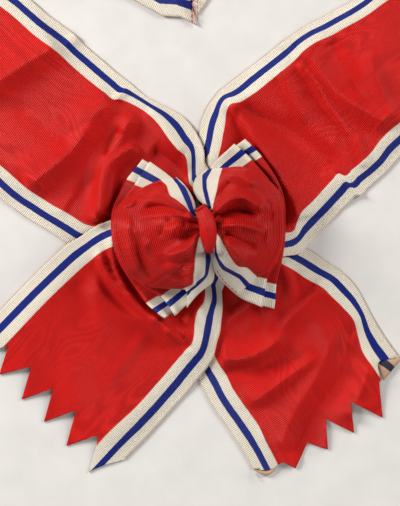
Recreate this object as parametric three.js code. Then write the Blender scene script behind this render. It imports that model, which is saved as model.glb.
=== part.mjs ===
// Sash of an order, laid flat on a surface. Two bands of wide ribbon meet at a shoulder seam and at the hip,
// where they are gathered under a large bow. Two tails with zigzag-cut ends leave the same gathering.
// Millimetres, +Z up, the surface is z = 0. The bow's waist is x = 0, y = 0 until the whole is centred.
import * as THREE from 'three';

const { clamp, degToRad, lerp, smoothstep } = THREE.MathUtils;

// Ribbon
const ribbonWidth = 100;
const clothWall = 1;
const stripeWidth = 16; // the white, blue and white edge keeps its width in a gathering
const layerGap = 0.35; // air between cloths that lie on one another
const pressRadius = 1.3; // inside a fold that is pressed flat, to the middle of the cloth

// Bands: out from the bow, two folds each, and back to the seam
const leftHeading = degToRad(143);
const rightHeading = degToRad(39.4);
const leftBandReach = 400;
const rightBandReach = 400;
const leftReturn = 320;
const rightReturn = 300;
const leftSeamHeading = degToRad(156); // away from the seam
const rightSeamHeading = degToRad(57);
const leftReturnBend = degToRad(-26); // the ribbon eases round in its own plane
const seamX = -25.5;
const seamY = 167.8;
const seamLap = 3;

// Tails
const leftTailHeading = degToRad(225.9);
const rightTailHeading = degToRad(305.8);
const leftTailLength = 115; // waist to the valleys of the teeth
const rightTailLength = 118;
const toothCount = 6;
const toothDepth = 16.5;

// Bow and knot
const waistHalf = 10.5; // the gathered ribbon, half its height at the knot
const knotWidth = 8;
const knotWall = 1.4;
const knotLean = -0.2; // sideways shift of the strap for each millimetre up the bow
const bowPuff = 12; // how far the front loop's cheeks rise above its own back
const looseLoop = 2.8; // hollow of the two loops behind
const rimOpening = 6.5; // height of the front loop's rolled rim

// Mesh fineness
const columns = 2 * toothCount;
const fanStep = 8;
const pinchStart = -5;
const curlSteps = 6;
const settleRounds = 8;

const scarlet = 0xb8151b;

// Where each gathered length's two edges run. Shares of ribbonWidth: along from the waist, left and right
// of the heading line.
const leftBandFan = [
  { along: -0.1, left: 0.09, right: 0.09 },
  { along: 0.09, left: 0.16, right: 0.115 },
  { along: 0.19, left: 0.27, right: 0.255 },
  { along: 0.3, left: 0.38, right: 0.345 },
  { along: 0.44, left: 0.47, right: 0.4 },
  { along: 0.58, left: 0.495, right: 0.39 },
  { along: 0.71, left: 0.5, right: 0.37 },
  { along: 1.0, left: 0.51, right: 0.387 },
  { along: 1.41, left: 0.51, right: 0.404 },
  { along: 2.2, left: 0.5, right: 0.5 },
];
const rightBandFan = [
  { along: -0.1, left: 0.09, right: 0.1 },
  { along: 0.09, left: 0.112, right: 0.2 },
  { along: 0.18, left: 0.238, right: 0.32 },
  { along: 0.31, left: 0.413, right: 0.405 },
  { along: 0.4, left: 0.468, right: 0.41 },
  { along: 0.5, left: 0.504, right: 0.408 },
  { along: 0.68, left: 0.492, right: 0.378 },
  { along: 0.84, left: 0.5, right: 0.366 },
  { along: 1.01, left: 0.485, right: 0.362 },
  { along: 1.33, left: 0.43, right: 0.42 },
  { along: 2.2, left: 0.5, right: 0.5 },
];
const leftTailFan = [
  { along: -0.1, left: 0.1, right: 0.08 },
  { along: 0.14, left: 0.23, right: 0.22 },
  { along: 0.2, left: 0.32, right: 0.28 },
  { along: 0.3, left: 0.4, right: 0.375 },
  { along: 0.42, left: 0.475, right: 0.422 },
  { along: 0.59, left: 0.532, right: 0.457 },
  { along: 0.82, left: 0.539, right: 0.468 },
  { along: 1.15, left: 0.549, right: 0.467 },
  { along: 1.4, left: 0.549, right: 0.467 },
];
const rightTailFan = [
  { along: -0.1, left: 0.08, right: 0.09 },
  { along: 0.2, left: 0.22, right: 0.24 },
  { along: 0.39, left: 0.362, right: 0.38 },
  { along: 0.6, left: 0.44, right: 0.47 },
  { along: 0.72, left: 0.467, right: 0.492 },
  { along: 0.85, left: 0.434, right: 0.507 },
  { along: 1.07, left: 0.433, right: 0.527 },
  { along: 1.4, left: 0.433, right: 0.54 },
];

// Soft ridges in the gathered lengths. Shares of ribbonWidth, as above: a ridge runs between two points,
// side is plus to the left of the heading.
const leftBandRidges = [
  { fromAlong: 0.75, fromSide: -0.25, toAlong: 1.28, toSide: 0.3, height: 0.05, spread: 0.13 },
  { fromAlong: 0.45, fromSide: -0.2, toAlong: 0.95, toSide: 0.38, height: 0.045, spread: 0.12 },
];
const rightBandRidges = [
  { fromAlong: 0.75, fromSide: 0.36, toAlong: 0.42, toSide: -0.26, height: 0.06, spread: 0.12 },
  { fromAlong: 1.45, fromSide: 0.25, toAlong: 1.1, toSide: -0.34, height: 0.03, spread: 0.1 },
];
const leftTailRidges = [
  { fromAlong: 0.42, fromSide: -0.33, toAlong: 0.66, toSide: 0.36, height: 0.05, spread: 0.12 },
  { fromAlong: 0.3, fromSide: -0.3, toAlong: 0.46, toSide: 0.3, height: 0.04, spread: 0.1 },
];
const rightTailRidges = [
  { fromAlong: 0.5, fromSide: 0.34, toAlong: 0.66, toSide: -0.36, height: 0.06, spread: 0.12 },
  { fromAlong: 0.8, fromSide: 0.12, toAlong: 1.1, toSide: -0.2, height: 0.03, spread: 0.12 },
];

// The bow's two rims, from the upper corner to the lower one. Shares of ribbonWidth.
const leftRim = [
  { down: 0.0, x: -0.325, y: 0.356 },
  { down: 0.14, x: -0.404, y: 0.25 },
  { down: 0.34, x: -0.479, y: 0.07 },
  { down: 0.54, x: -0.474, y: -0.11 },
  { down: 0.7, x: -0.438, y: -0.242 },
  { down: 0.87, x: -0.32, y: -0.375 },
  { down: 1.0, x: -0.206, y: -0.464 },
];
const rightRim = [
  { down: 0.0, x: 0.206, y: 0.464 },
  { down: 0.14, x: 0.3, y: 0.366 },
  { down: 0.32, x: 0.375, y: 0.21 },
  { down: 0.5, x: 0.407, y: 0.05 },
  { down: 0.68, x: 0.402, y: -0.12 },
  { down: 0.87, x: 0.378, y: -0.29 },
  { down: 1.0, x: 0.361, y: -0.412 },
];

// How far the bow's four selvedges bow out from the straight line between waist and corner, halfway along.
// Shares of ribbonWidth.
const selvedgeBows = {
  leftUpper: { x: 0.02, y: 0.05 },
  leftLower: { x: 0.13, y: -0.03 },
  rightUpper: { x: -0.13, y: 0.02 },
  rightLower: { x: -0.06, y: -0.03 },
};

// Height of the front loop's cheeks over their run from waist to rim. Share of bowPuff.
const cheekRise = [
  { out: 0.0, rise: 0.0 },
  { out: 0.15, rise: 0.35 },
  { out: 0.35, rise: 0.85 },
  { out: 0.6, rise: 1.0 },
  { out: 0.82, rise: 0.8 },
  { out: 1.0, rise: 0.45 },
];

// A smooth curve through one column of a table
function tableAt(rows, key, column, at) {
  const last = rows.length - 1;
  if (at <= rows[0][key]) return rows[0][column];
  if (at >= rows[last][key]) return rows[last][column];
  const i = rows.findIndex((row) => row[key] > at) - 1;
  const slope = (k) => {
    const low = rows[Math.max(k - 1, 0)];
    const high = rows[Math.min(k + 1, last)];
    return (high[column] - low[column]) / (high[key] - low[key]);
  };
  const span = rows[i + 1][key] - rows[i][key];
  const t = (at - rows[i][key]) / span;
  const t2 = t * t;
  const t3 = t2 * t;
  return (
    (2 * t3 - 3 * t2 + 1) * rows[i][column] +
    (t3 - 2 * t2 + t) * span * slope(i) +
    (3 * t2 - 2 * t3) * rows[i + 1][column] +
    (t3 - t2) * span * slope(i + 1)
  );
}

const direction = (angle) => new THREE.Vector2(Math.cos(angle), Math.sin(angle));
const leftOf = (angle) => new THREE.Vector2(-Math.sin(angle), Math.cos(angle));

// Remembers how high the cloth laid so far reaches, on a fine grid of squares.
class LaidCloth {
  constructor() {
    this.square = 1.5;
    this.tops = new Map();
  }

  index(x, y) {
    const rowLength = 1e4;
    return Math.floor(x / this.square) * rowLength + Math.floor(y / this.square);
  }

  addTriangle(a, b, c) {
    const longest = Math.max(a.distanceTo(b), b.distanceTo(c), c.distanceTo(a));
    const parts = Math.ceil(longest / (0.6 * this.square));
    for (let i = 0; i <= parts; i++) {
      for (let j = 0; j <= parts - i; j++) {
        const k = parts - i - j;
        const x = (a.x * i + b.x * j + c.x * k) / parts;
        const y = (a.y * i + b.y * j + c.y * k) / parts;
        const z = (a.z * i + b.z * j + c.z * k) / parts;
        const at = this.index(x, y);
        if (z > (this.tops.get(at) ?? 0)) this.tops.set(at, z);
      }
    }
  }

  addGeometry(geometry, reach) {
    const position = geometry.getAttribute('position');
    const index = geometry.getIndex();
    const corner = (n) => new THREE.Vector3().fromBufferAttribute(position, index.getX(n));
    for (let n = 0; n < index.count; n += 3) {
      const [a, b, c] = [corner(n), corner(n + 1), corner(n + 2)];
      if (Math.min(a.length(), b.length(), c.length()) < reach) this.addTriangle(a, b, c);
    }
  }

  topNear(x, y, radius) {
    let top = 0;
    const squares = Math.ceil(radius / this.square);
    for (let i = -squares; i <= squares; i++) {
      for (let j = -squares; j <= squares; j++) {
        if (Math.hypot(i, j) * this.square > radius) continue;
        const at = this.index(x + i * this.square, y + j * this.square);
        top = Math.max(top, this.tops.get(at) ?? 0);
      }
    }
    return top;
  }
}

// Raises the rows of a cloth so that it lies on what is under it, and eases the rise out around.
function settle(grid, laid, reach) {
  const need = grid.map((row) =>
    row.map((point) => {
      const top = laid.topNear(point.x, point.y, reach);
      const lowest = clothWall / 2 + (top > 0 ? top + layerGap : 0);
      return Math.max(lowest, clothWall / 2 + point.z) - point.z;
    }),
  );
  let lift = need.map((row) => row.slice());
  for (let round = 0; round < settleRounds; round++) {
    lift = lift.map((row, r) =>
      row.map((_, c) => {
        const near = [lift[r - 1]?.[c], lift[r + 1]?.[c], row[c - 1], row[c + 1]];
        const known = near.filter((value) => value !== undefined);
        const mean = known.reduce((sum, value) => sum + value, 0) / known.length;
        return Math.max(need[r][c], mean);
      }),
    );
  }
  grid.forEach((row, r) => row.forEach((point, c) => (point.z += lift[r][c])));
}

// Gives a grid of points the cloth's wall, as one closed body. A ring's last row joins its first.
function thicken(grid, wall, ring = false) {
  const rows = grid.length;
  const across = grid[0].length;
  const rowAt = (r) => (ring ? (r + rows) % rows : clamp(r, 0, rows - 1));
  const normalAt = (r, c) => {
    const along = grid[rowAt(r + 1)][c].clone().sub(grid[rowAt(r - 1)][c]);
    const over = grid[r][Math.min(c + 1, across - 1)].clone().sub(grid[r][Math.max(c - 1, 0)]);
    return along.cross(over).normalize();
  };
  const positions = [];
  for (const side of [0.5, -0.5]) {
    for (let r = 0; r < rows; r++) {
      for (let c = 0; c < across; c++) {
        const point = grid[r][c].clone().addScaledVector(normalAt(r, c), side * wall);
        positions.push(point.x, point.y, point.z);
      }
    }
  }
  const faces = [];
  const quad = (a, b, c, d) => faces.push(a, b, c, a, c, d);
  const front = (r, c) => (r % rows) * across + c;
  const back = (r, c) => rows * across + front(r, c);
  const lastCell = ring ? rows : rows - 1;
  for (let r = 0; r < lastCell; r++) {
    for (let c = 0; c < across - 1; c++) {
      quad(front(r, c), front(r + 1, c), front(r + 1, c + 1), front(r, c + 1));
      quad(back(r, c), back(r, c + 1), back(r + 1, c + 1), back(r + 1, c));
    }
    const end = across - 1;
    quad(front(r, 0), back(r, 0), back(r + 1, 0), front(r + 1, 0));
    quad(front(r, end), front(r + 1, end), back(r + 1, end), back(r, end));
  }
  for (let c = 0; c < across - 1 && !ring; c++) {
    const end = rows - 1;
    quad(front(0, c), front(0, c + 1), back(0, c + 1), back(0, c));
    quad(front(end, c), back(end, c), back(end, c + 1), front(end, c + 1));
  }
  const geometry = new THREE.BufferGeometry();
  geometry.setAttribute('position', new THREE.Float32BufferAttribute(positions, 3));
  geometry.setIndex(faces);
  geometry.computeVertexNormals();
  return geometry;
}

// Place across a gathered length: share runs from -0.5 at its right edge to 0.5 at its left. The stripes keep
// their width, and the middle closes up.
function sideAt(fan, along, share) {
  const at = along / ribbonWidth;
  const left = tableAt(fan, 'along', 'left', at) * ribbonWidth;
  const right = tableAt(fan, 'along', 'right', at) * ribbonWidth;
  const stripe = Math.min(stripeWidth, 0.25 * (left + right));
  const inner = 0.5 - stripeWidth / ribbonWidth;
  if (share > inner) return left - (stripe * (0.5 - share)) / (0.5 - inner);
  if (share < -inner) return -right + (stripe * (0.5 + share)) / (0.5 - inner);
  return lerp(stripe - right, left - stripe, (share + inner) / (2 * inner));
}

// Height of the pleats that take up the width which the gathering spares
function pleatHeight(fan, along, share) {
  const pleats = 3;
  const at = along / ribbonWidth;
  const width = tableAt(fan, 'along', 'left', at) + tableAt(fan, 'along', 'right', at);
  const spare = Math.max(1 - width, 0);
  const height = ((width * ribbonWidth) / pleats / Math.PI) * Math.sqrt(spare);
  return height * (0.5 - 0.5 * Math.cos(2 * Math.PI * pleats * (share + 0.5)));
}

function ridgeHeight(ridges, along, side) {
  return ridges.reduce((sum, ridge) => {
    const from = new THREE.Vector2(ridge.fromAlong, ridge.fromSide);
    const run = new THREE.Vector2(ridge.toAlong, ridge.toSide).sub(from);
    const point = new THREE.Vector2(along, side).divideScalar(ribbonWidth).sub(from);
    const share = clamp(point.dot(run) / run.lengthSq(), 0, 1);
    const off = point.addScaledVector(run, -share).length() / ridge.spread;
    const fade = Math.sin(Math.PI * clamp(share, 0.15, 0.85));
    return sum + ridge.height * ribbonWidth * fade * (1 - smoothstep(off, 0, 1));
  }, 0);
}

// A tail: a fan from the waist, with teeth at its end
function tailGrid(heading, fan, ridges, length, rolledTeeth) {
  const rows = Math.round((length - pinchStart) / fanStep);
  const grid = [];
  for (let r = 0; r <= rows + 1; r++) {
    const row = [];
    for (let c = 0; c <= columns; c++) {
      const share = 0.5 - c / columns;
      const outer = c === 1 || c === columns - 1;
      const tip = c % 2 === 1 ? toothDepth * (outer ? rolledTeeth : 1) : 0;
      const straight = lerp(pinchStart, length, Math.min(r, rows - 1) / rows);
      const along = r > rows ? length + tip : r === rows ? (straight + length + tip) / 2 : straight;
      const side = sideAt(fan, along, share);
      const height = pleatHeight(fan, along, share) + ridgeHeight(ridges, along, side);
      const place = direction(heading).multiplyScalar(along).addScaledVector(leftOf(heading), side);
      row.push(new THREE.Vector3(place.x, place.y, height));
    }
    grid.push(row);
  }
  return grid;
}

// The axis of a band: out from the bow, fold, across, fold, and back to the seam. The two middle headings
// follow from the places that the folds have to join.
function bandRoute(heading, reach, seamHeading, bend, back) {
  const bendRadius = bend === 0 ? Infinity : back / bend;
  const chord = bend === 0 ? back : 2 * bendRadius * Math.sin(bend / 2);
  const seam = new THREE.Vector2(seamX, seamY);
  const returnStart = seam.clone().addScaledVector(direction(seamHeading + bend / 2), chord);
  const lastHeading = seamHeading + bend + Math.PI;
  const firstFold = direction(heading).multiplyScalar(reach);
  const slip = Math.PI * pressRadius;
  let middle = returnStart.clone().sub(firstFold).angle();
  let route;
  for (let round = 0; round < 8; round++) {
    const folds = [
      foldBetween(heading, middle),
      foldBetween(middle, lastHeading),
    ];
    const secondStart = firstFold.clone().addScaledVector(folds[0].normal, slip);
    const secondFold = returnStart.clone().addScaledVector(folds[1].normal, -slip);
    const run = secondFold.clone().sub(secondStart);
    middle = run.angle();
    folds[0].at = reach;
    folds[1].at = reach + run.length();
    route = {
      folds,
      frames: [
        { origin: new THREE.Vector2(), from: 0, heading, turn: 1 },
        { origin: secondStart, from: folds[0].at, heading: middle, turn: -1 },
        { origin: returnStart, from: folds[1].at, heading: lastHeading, turn: 1 },
      ],
      bend: -bend,
      end: folds[1].at + back,
    };
  }
  return route;
}

// A fold that turns a ribbon from one heading to another. Its crease halves the angle.
function foldBetween(before, after) {
  let turn = (after - before) % (2 * Math.PI);
  if (turn > Math.PI) turn -= 2 * Math.PI;
  if (turn < -Math.PI) turn += 2 * Math.PI;
  const crease = before + turn / 2;
  const sine = Math.sin(crease - before);
  const slant = Math.cos(crease - before) / sine;
  const normal = leftOf(crease).multiplyScalar(-Math.sign(sine));
  return { sine: Math.abs(sine), slant, normal };
}

// Lays a point of the flat ribbon along a route
function layPoint(route, along, side, height) {
  for (let k = 0; k <= route.folds.length; k++) {
    const frame = route.frames[k];
    const left = leftOf(frame.heading).multiplyScalar(frame.turn);
    const place = frame.origin.clone();
    const level = k * 2 * pressRadius;
    const fold = route.folds[k];
    if (!fold) {
      const bent = Math.min(along, route.end) - frame.from;
      const turned = (route.bend * bent) / (route.end - frame.from);
      const half = turned / 2;
      const chord = half === 0 ? bent : (bent * Math.sin(half)) / half;
      place.addScaledVector(direction(frame.heading + half), chord);
      place.addScaledVector(direction(frame.heading + turned), Math.max(along - route.end, 0));
      place.addScaledVector(leftOf(frame.heading + turned), side * frame.turn);
      return new THREE.Vector3(place.x, place.y, height + level);
    }
    place.addScaledVector(direction(frame.heading), along - frame.from).addScaledVector(left, side);
    const past = (along - fold.at - fold.slant * side * frame.turn) * fold.sine;
    if (past <= 0) return new THREE.Vector3(place.x, place.y, height + level);
    if (past < Math.PI * pressRadius) {
      const angle = past / pressRadius;
      place.addScaledVector(fold.normal, pressRadius * Math.sin(angle) - past);
      return new THREE.Vector3(place.x, place.y, height + level + pressRadius * (1 - Math.cos(angle)));
    }
  }
  return undefined;
}

// A band: gathered at the bow, folded twice out of sight of it, cut to the mitre at the seam
function bandGrid(route, fan, ridges, seamLevel, lap) {
  const fanEnd = 2 * ribbonWidth;
  const stations = [];
  const fanRows = Math.round((1.5 * ribbonWidth - pinchStart) / fanStep);
  for (let r = 0; r <= fanRows; r++) {
    stations.push({ at: lerp(pinchStart, 1.5 * ribbonWidth, r / fanRows), slant: 0, level: 0 });
  }
  stations.push({ at: 1.75 * ribbonWidth, slant: 0, level: 0 }, { at: fanEnd, slant: 0, level: 0 });
  route.folds.forEach((fold, k) => {
    const slant = fold.slant * route.frames[k].turn;
    if (k === 0) stations.push({ at: (fanEnd + fold.at) / 2, slant: slant / 2, level: 0 });
    for (let step = 0; step <= curlSteps; step++) {
      const past = (step / curlSteps) * Math.PI * pressRadius;
      stations.push({ at: fold.at + past / fold.sine, slant, level: 0 });
    }
  });
  const seamAngle = (leftSeamHeading + rightSeamHeading) / 2;
  const arrival = route.frames[2].heading + route.bend;
  const seamSlant = 1 / Math.tan(seamAngle - arrival);
  const last = route.folds[1];
  const returnRows = 7;
  const start = last.at + (Math.PI * pressRadius) / last.sine;
  for (let r = 1; r <= returnRows; r++) {
    const share = r / returnRows;
    const drop = smoothstep(share, 0.3, 0.85) * (seamLevel - 4 * pressRadius);
    const slant = lerp(last.slant * route.frames[1].turn, seamSlant, share);
    stations.push({ at: lerp(start, route.end + lap, share), slant, level: drop });
  }
  return stations.map(({ at, slant, level }) => {
    const row = [];
    for (let c = 0; c <= columns; c++) {
      const share = 0.5 - c / columns;
      const flatSide = sideAt(fan, at, share);
      const along = at + slant * flatSide;
      const side = at > fanEnd ? share * ribbonWidth : flatSide;
      const height = pleatHeight(fan, at, share) + ridgeHeight(ridges, at, side);
      row.push(layPoint(route, along, side, height + level));
    }
    return row;
  });
}

// Lays a length on what is already there and thickens it
const laid = new LaidCloth();
const bowReach = 1.6 * ribbonWidth;

function laidLength(grid) {
  settle(grid, laid, fanStep + 1);
  const geometry = thicken(grid, clothWall);
  laid.addGeometry(geometry, bowReach);
  return geometry;
}

const rightTail = laidLength(
  tailGrid(rightTailHeading, rightTailFan, rightTailRidges, rightTailLength, 0.45),
);
const rightRoute = bandRoute(rightHeading, rightBandReach, rightSeamHeading, 0, rightReturn);
const rightBand = laidLength(bandGrid(rightRoute, rightBandFan, rightBandRidges, 0, 0));
const leftRoute = bandRoute(leftHeading, leftBandReach, leftSeamHeading, leftReturnBend, leftReturn);
const leftBand = laidLength(
  bandGrid(leftRoute, leftBandFan, leftBandRidges, clothWall + layerGap, seamLap),
);
const leftTail = laidLength(
  tailGrid(leftTailHeading, leftTailFan, leftTailRidges, leftTailLength, 1),
);

// The knot's strap lies on the gathered lengths, and the bow's loops lie in it, one on another.
const strapUnder = laid.topNear(0, 0, waistHalf + knotWidth) + layerGap;
const waistFloor = strapUnder + knotWall + 2 * layerGap + clothWall / 2;
const sheetStep = clothWall + 2 * layerGap; // between the middles of two cloths that are pressed together
const waistTop = waistFloor + 5 * sheetStep;
const lobeStations = [0, 0.15, 0.3, 0.5, 0.75, 1];

// Place of a point of a loop: out runs from 0 at the waist to 1 at the rim, share from 0.5 at the upper
// selvedge to -0.5 at the lower one.
function lobePlace(side, out, share, inset) {
  const rim = side > 0 ? rightRim : leftRim;
  const down = 0.5 - share;
  const waist = new THREE.Vector2(side * (knotWidth / 2 + 1.5), 2 * waistHalf * share);
  const edge = new THREE.Vector2(tableAt(rim, 'down', 'x', down), tableAt(rim, 'down', 'y', down));
  edge.multiplyScalar(ribbonWidth);
  edge.addScaledVector(waist.clone().sub(edge).normalize(), inset);
  const bows = selvedgeBows[(side > 0 ? 'right' : 'left') + (share > 0 ? 'Upper' : 'Lower')];
  const push = smoothstep(2 * Math.abs(share), 0.3, 1) * 4 * out * (1 - out) * ribbonWidth;
  return waist.lerp(edge, out).add(new THREE.Vector2(bows.x, bows.y).multiplyScalar(push));
}

// Heights of one side of a loop, a row for each station from waist to rim
function lobeFloor(side, inset, lower) {
  if (lower) return lower.map((row) => row.map((top) => top + sheetStep));
  const grid = lobeStations.slice(1).map((out) => {
    const row = [];
    for (let c = 0; c <= columns; c++) {
      const place = lobePlace(side, out, 0.5 - c / columns, inset);
      row.push(new THREE.Vector3(place.x, place.y, 0));
    }
    return row;
  });
  settle(grid, laid, fanStep + 1);
  const waistRow = Array.from({ length: columns + 1 }, () => waistFloor);
  return [waistRow, ...grid.map((row) => row.map((point) => point.z))];
}

// One pinched loop: under the waist, out to the right rim, over to the left rim, and back
function bowLoop({ corner, side: sideInset, opening, lowerLobes }) {
  const lobes = [1, -1].map((side) => {
    const inset = (share) => lerp(sideInset, corner, (2 * Math.abs(share)) ** 3);
    const floor = lobeFloor(side, inset(0.5), lowerLobes?.[side > 0 ? 0 : 1]);
    const top = floor.map((row, k) =>
      row.map((low, c) => low + opening(lobeStations[k], 0.5 - c / columns)),
    );
    const point = (k, c, z, reach = 0) => {
      const share = 0.5 - c / columns;
      const roll = opening(1, share) / 2;
      const place = lobePlace(side, lobeStations[k], share, inset(share) + roll);
      const outward = place.clone().normalize().multiplyScalar(reach * roll);
      return new THREE.Vector3(place.x + outward.x, place.y + outward.y, z);
    };
    const rowOf = (k, heights, reach) =>
      Array.from({ length: columns + 1 }, (_, c) => point(k, c, heights[c], reach));
    const last = lobeStations.length - 1;
    const under = lobeStations.map((_, k) => rowOf(k, floor[k]));
    const over = lobeStations.map((_, k) => rowOf(k, top[k]));
    const roll = [1, 2, 3].map((step) => {
      const angle = (step / 4) * Math.PI;
      const heights = floor[last].map((low, c) => lerp(low, top[last][c], (1 - Math.cos(angle)) / 2));
      return rowOf(last, heights, Math.sin(angle));
    });
    return { under, over, roll, top };
  });
  const [right, left] = lobes;
  const grid = [
    ...right.under,
    ...right.roll,
    ...right.over.slice().reverse(),
    ...left.over,
    ...left.roll.slice().reverse(),
    ...left.under.slice().reverse(),
  ];
  const geometry = thicken(grid, clothWall, true);
  return { geometry, tops: lobes.map((lobe) => lobe.top) };
}

const pressed = (out) => sheetStep + (looseLoop - sheetStep) * Math.sin(Math.PI * Math.min(out, 0.6));
const puffed = (out, share) => {
  const cheek = 1 - Math.abs(2 * share) ** 3;
  const rise = tableAt(cheekRise, 'out', 'rise', out) * bowPuff * lerp(0.35, 1, cheek);
  return sheetStep + rise;
};
const bowBack = bowLoop({ corner: 0, side: 3, opening: pressed });
const bowMiddle = bowLoop({ corner: 4, side: 2, opening: pressed, lowerLobes: bowBack.tops });
const bowFront = bowLoop({ corner: 7, side: 0, opening: puffed, lowerLobes: bowMiddle.tops });

// The knot: a narrow folded strap all round the bow's waist
function knotRing() {
  const half = waistHalf + clothWall / 2 + layerGap + knotWall / 2;
  const bottom = strapUnder + knotWall / 2;
  const top = waistTop + clothWall / 2 + 2 * layerGap + knotWall / 2;
  const corner = 2.5;
  const centres = [
    { y: half - corner, z: bottom + corner, from: -0.5 },
    { y: half - corner, z: top - corner, from: 0 },
    { y: corner - half, z: top - corner, from: 0.5 },
    { y: corner - half, z: bottom + corner, from: 1 },
  ];
  const path = centres.flatMap(({ y, z, from }) =>
    [0, 0.25, 0.5].map((step) => {
      const angle = (from + step) * Math.PI;
      return { y: y + corner * Math.cos(angle), z: z + corner * Math.sin(angle) };
    }),
  );
  const crown = [0.5, 0, -0.5].map((share) => ({ y: share * half, z: top + 1.2 * (1 - share * share) }));
  path.splice(6, 0, ...crown);
  return path.map(({ y, z }) => {
    const taper = lerp(1, 0.7, (y / half) ** 2);
    return [-0.5, -0.25, 0, 0.25, 0.5].map(
      (share) => new THREE.Vector3(knotLean * y + share * knotWidth * taper, y, z),
    );
  });
}
const knot = thicken(knotRing(), knotWall, true);

const group = new THREE.Group();
function add(name, geometry, color, roughness = 0.55) {
  const mesh = new THREE.Mesh(geometry, new THREE.MeshStandardMaterial({ color, roughness }));
  mesh.name = name;
  group.add(mesh);
}
add('right_tail', rightTail, scarlet);
add('right_band', rightBand, scarlet);
add('left_band', leftBand, scarlet);
add('left_tail', leftTail, scarlet);
add('bow_back', bowBack.geometry, scarlet);
add('bow_middle', bowMiddle.geometry, scarlet);
add('bow_front', bowFront.geometry, scarlet);
add('knot', knot, scarlet);

// The origin is under the middle of the whole, on the surface.
const middle = new THREE.Box3().setFromObject(group).getCenter(new THREE.Vector3());
group.position.set(-middle.x, -middle.y, 0);

export default group;
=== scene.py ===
# Sash of an order, laid flat: gathered moire ribbon, a big bow and zigzag-cut tails.
# The solids come packed from CAD; every piece here is the same ribbon with its folds, weave and stripes.
import math

import bmesh
import bpy
import numpy as np
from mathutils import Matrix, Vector


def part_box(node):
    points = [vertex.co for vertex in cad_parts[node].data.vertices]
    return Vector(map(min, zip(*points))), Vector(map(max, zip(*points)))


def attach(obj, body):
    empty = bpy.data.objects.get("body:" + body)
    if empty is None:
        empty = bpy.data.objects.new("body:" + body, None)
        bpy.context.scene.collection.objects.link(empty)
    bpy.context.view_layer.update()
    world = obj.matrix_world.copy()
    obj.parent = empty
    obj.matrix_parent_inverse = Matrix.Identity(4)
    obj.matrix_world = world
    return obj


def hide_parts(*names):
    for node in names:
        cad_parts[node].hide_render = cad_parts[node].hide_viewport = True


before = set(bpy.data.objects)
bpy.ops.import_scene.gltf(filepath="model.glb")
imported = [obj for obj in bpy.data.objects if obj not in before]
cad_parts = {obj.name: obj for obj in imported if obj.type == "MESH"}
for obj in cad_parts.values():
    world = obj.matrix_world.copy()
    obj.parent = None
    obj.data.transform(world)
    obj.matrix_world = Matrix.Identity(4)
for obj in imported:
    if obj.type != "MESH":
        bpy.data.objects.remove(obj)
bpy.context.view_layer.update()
knotLow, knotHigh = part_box("knot")
waist = [(knotLow[k] + knotHigh[k]) / 2 for k in range(2)]
mm = 0.001
print("stage: frame loaded, waist at", [round(v, 4) for v in waist])

# All lengths below are millimetres from the bow's waist, x to the right and y up the picture
cloth = {
    "width": 100.0,
    "wall": 0.55,
    "gap": 0.3,
    "stripe": 15.0,
    "press": 1.3,  # radius of a flat fold
    "slack": 3.2,
    "tuck": 5,  # what runs on under the knot
    "cutZone": 30,  # the stretch before a cut end where the rows close up
    "columns": 72,
    "rowStep": 1.5,
}

studio = {
    "floor": (0.70, 0.69, 0.67, 1),
    "air": (0.95, 0.96, 1.0, 1),
    "airStrength": 0.09,
    "photoCentre": (-2.6, -12.9),
    "frameHeight": 260.8,
    "distance": 1.1,
    "sensor": 36,
}


def ease(low, high, value):
    t = np.clip((value - low) / (high - low), 0, 1)
    return t * t * (3 - 2 * t)


def throughPoints(x, y, at):
    x, y = np.asarray(x, float), np.asarray(y, float)
    slope = np.array([
        (y[min(k + 1, len(x) - 1)] - y[max(k - 1, 0)]) / (x[min(k + 1, len(x) - 1)] - x[max(k - 1, 0)])
        for k in range(len(x))
    ])
    at = np.clip(at, x[0], x[-1])
    i = np.clip(np.searchsorted(x, at, side="right") - 1, 0, len(x) - 2)
    span = x[i + 1] - x[i]
    t = (at - x[i]) / span
    return (
        (2 * t**3 - 3 * t**2 + 1) * y[i]
        + (t**3 - 2 * t**2 + t) * span * slope[i]
        + (3 * t**2 - 2 * t**3) * y[i + 1]
        + (t**3 - t**2) * span * slope[i + 1]
    )


def columnAt(rows, key, column, at):
    return throughPoints([row[key] for row in rows], [row[column] for row in rows], at)


def alongLine(points, shares):
    points = np.array(points, float)
    steps = np.hypot(*np.diff(points[:, :2], axis=0).T)
    run = np.concatenate([[0], np.cumsum(steps)]) / steps.sum()
    return np.stack([throughPoints(run, points[:, k], shares) for k in range(points.shape[1])], axis=-1)


def heading(angle):
    return np.array([math.cos(angle), math.sin(angle)])


def leftOf(angle):
    return np.array([-math.sin(angle), math.cos(angle)])


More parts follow.
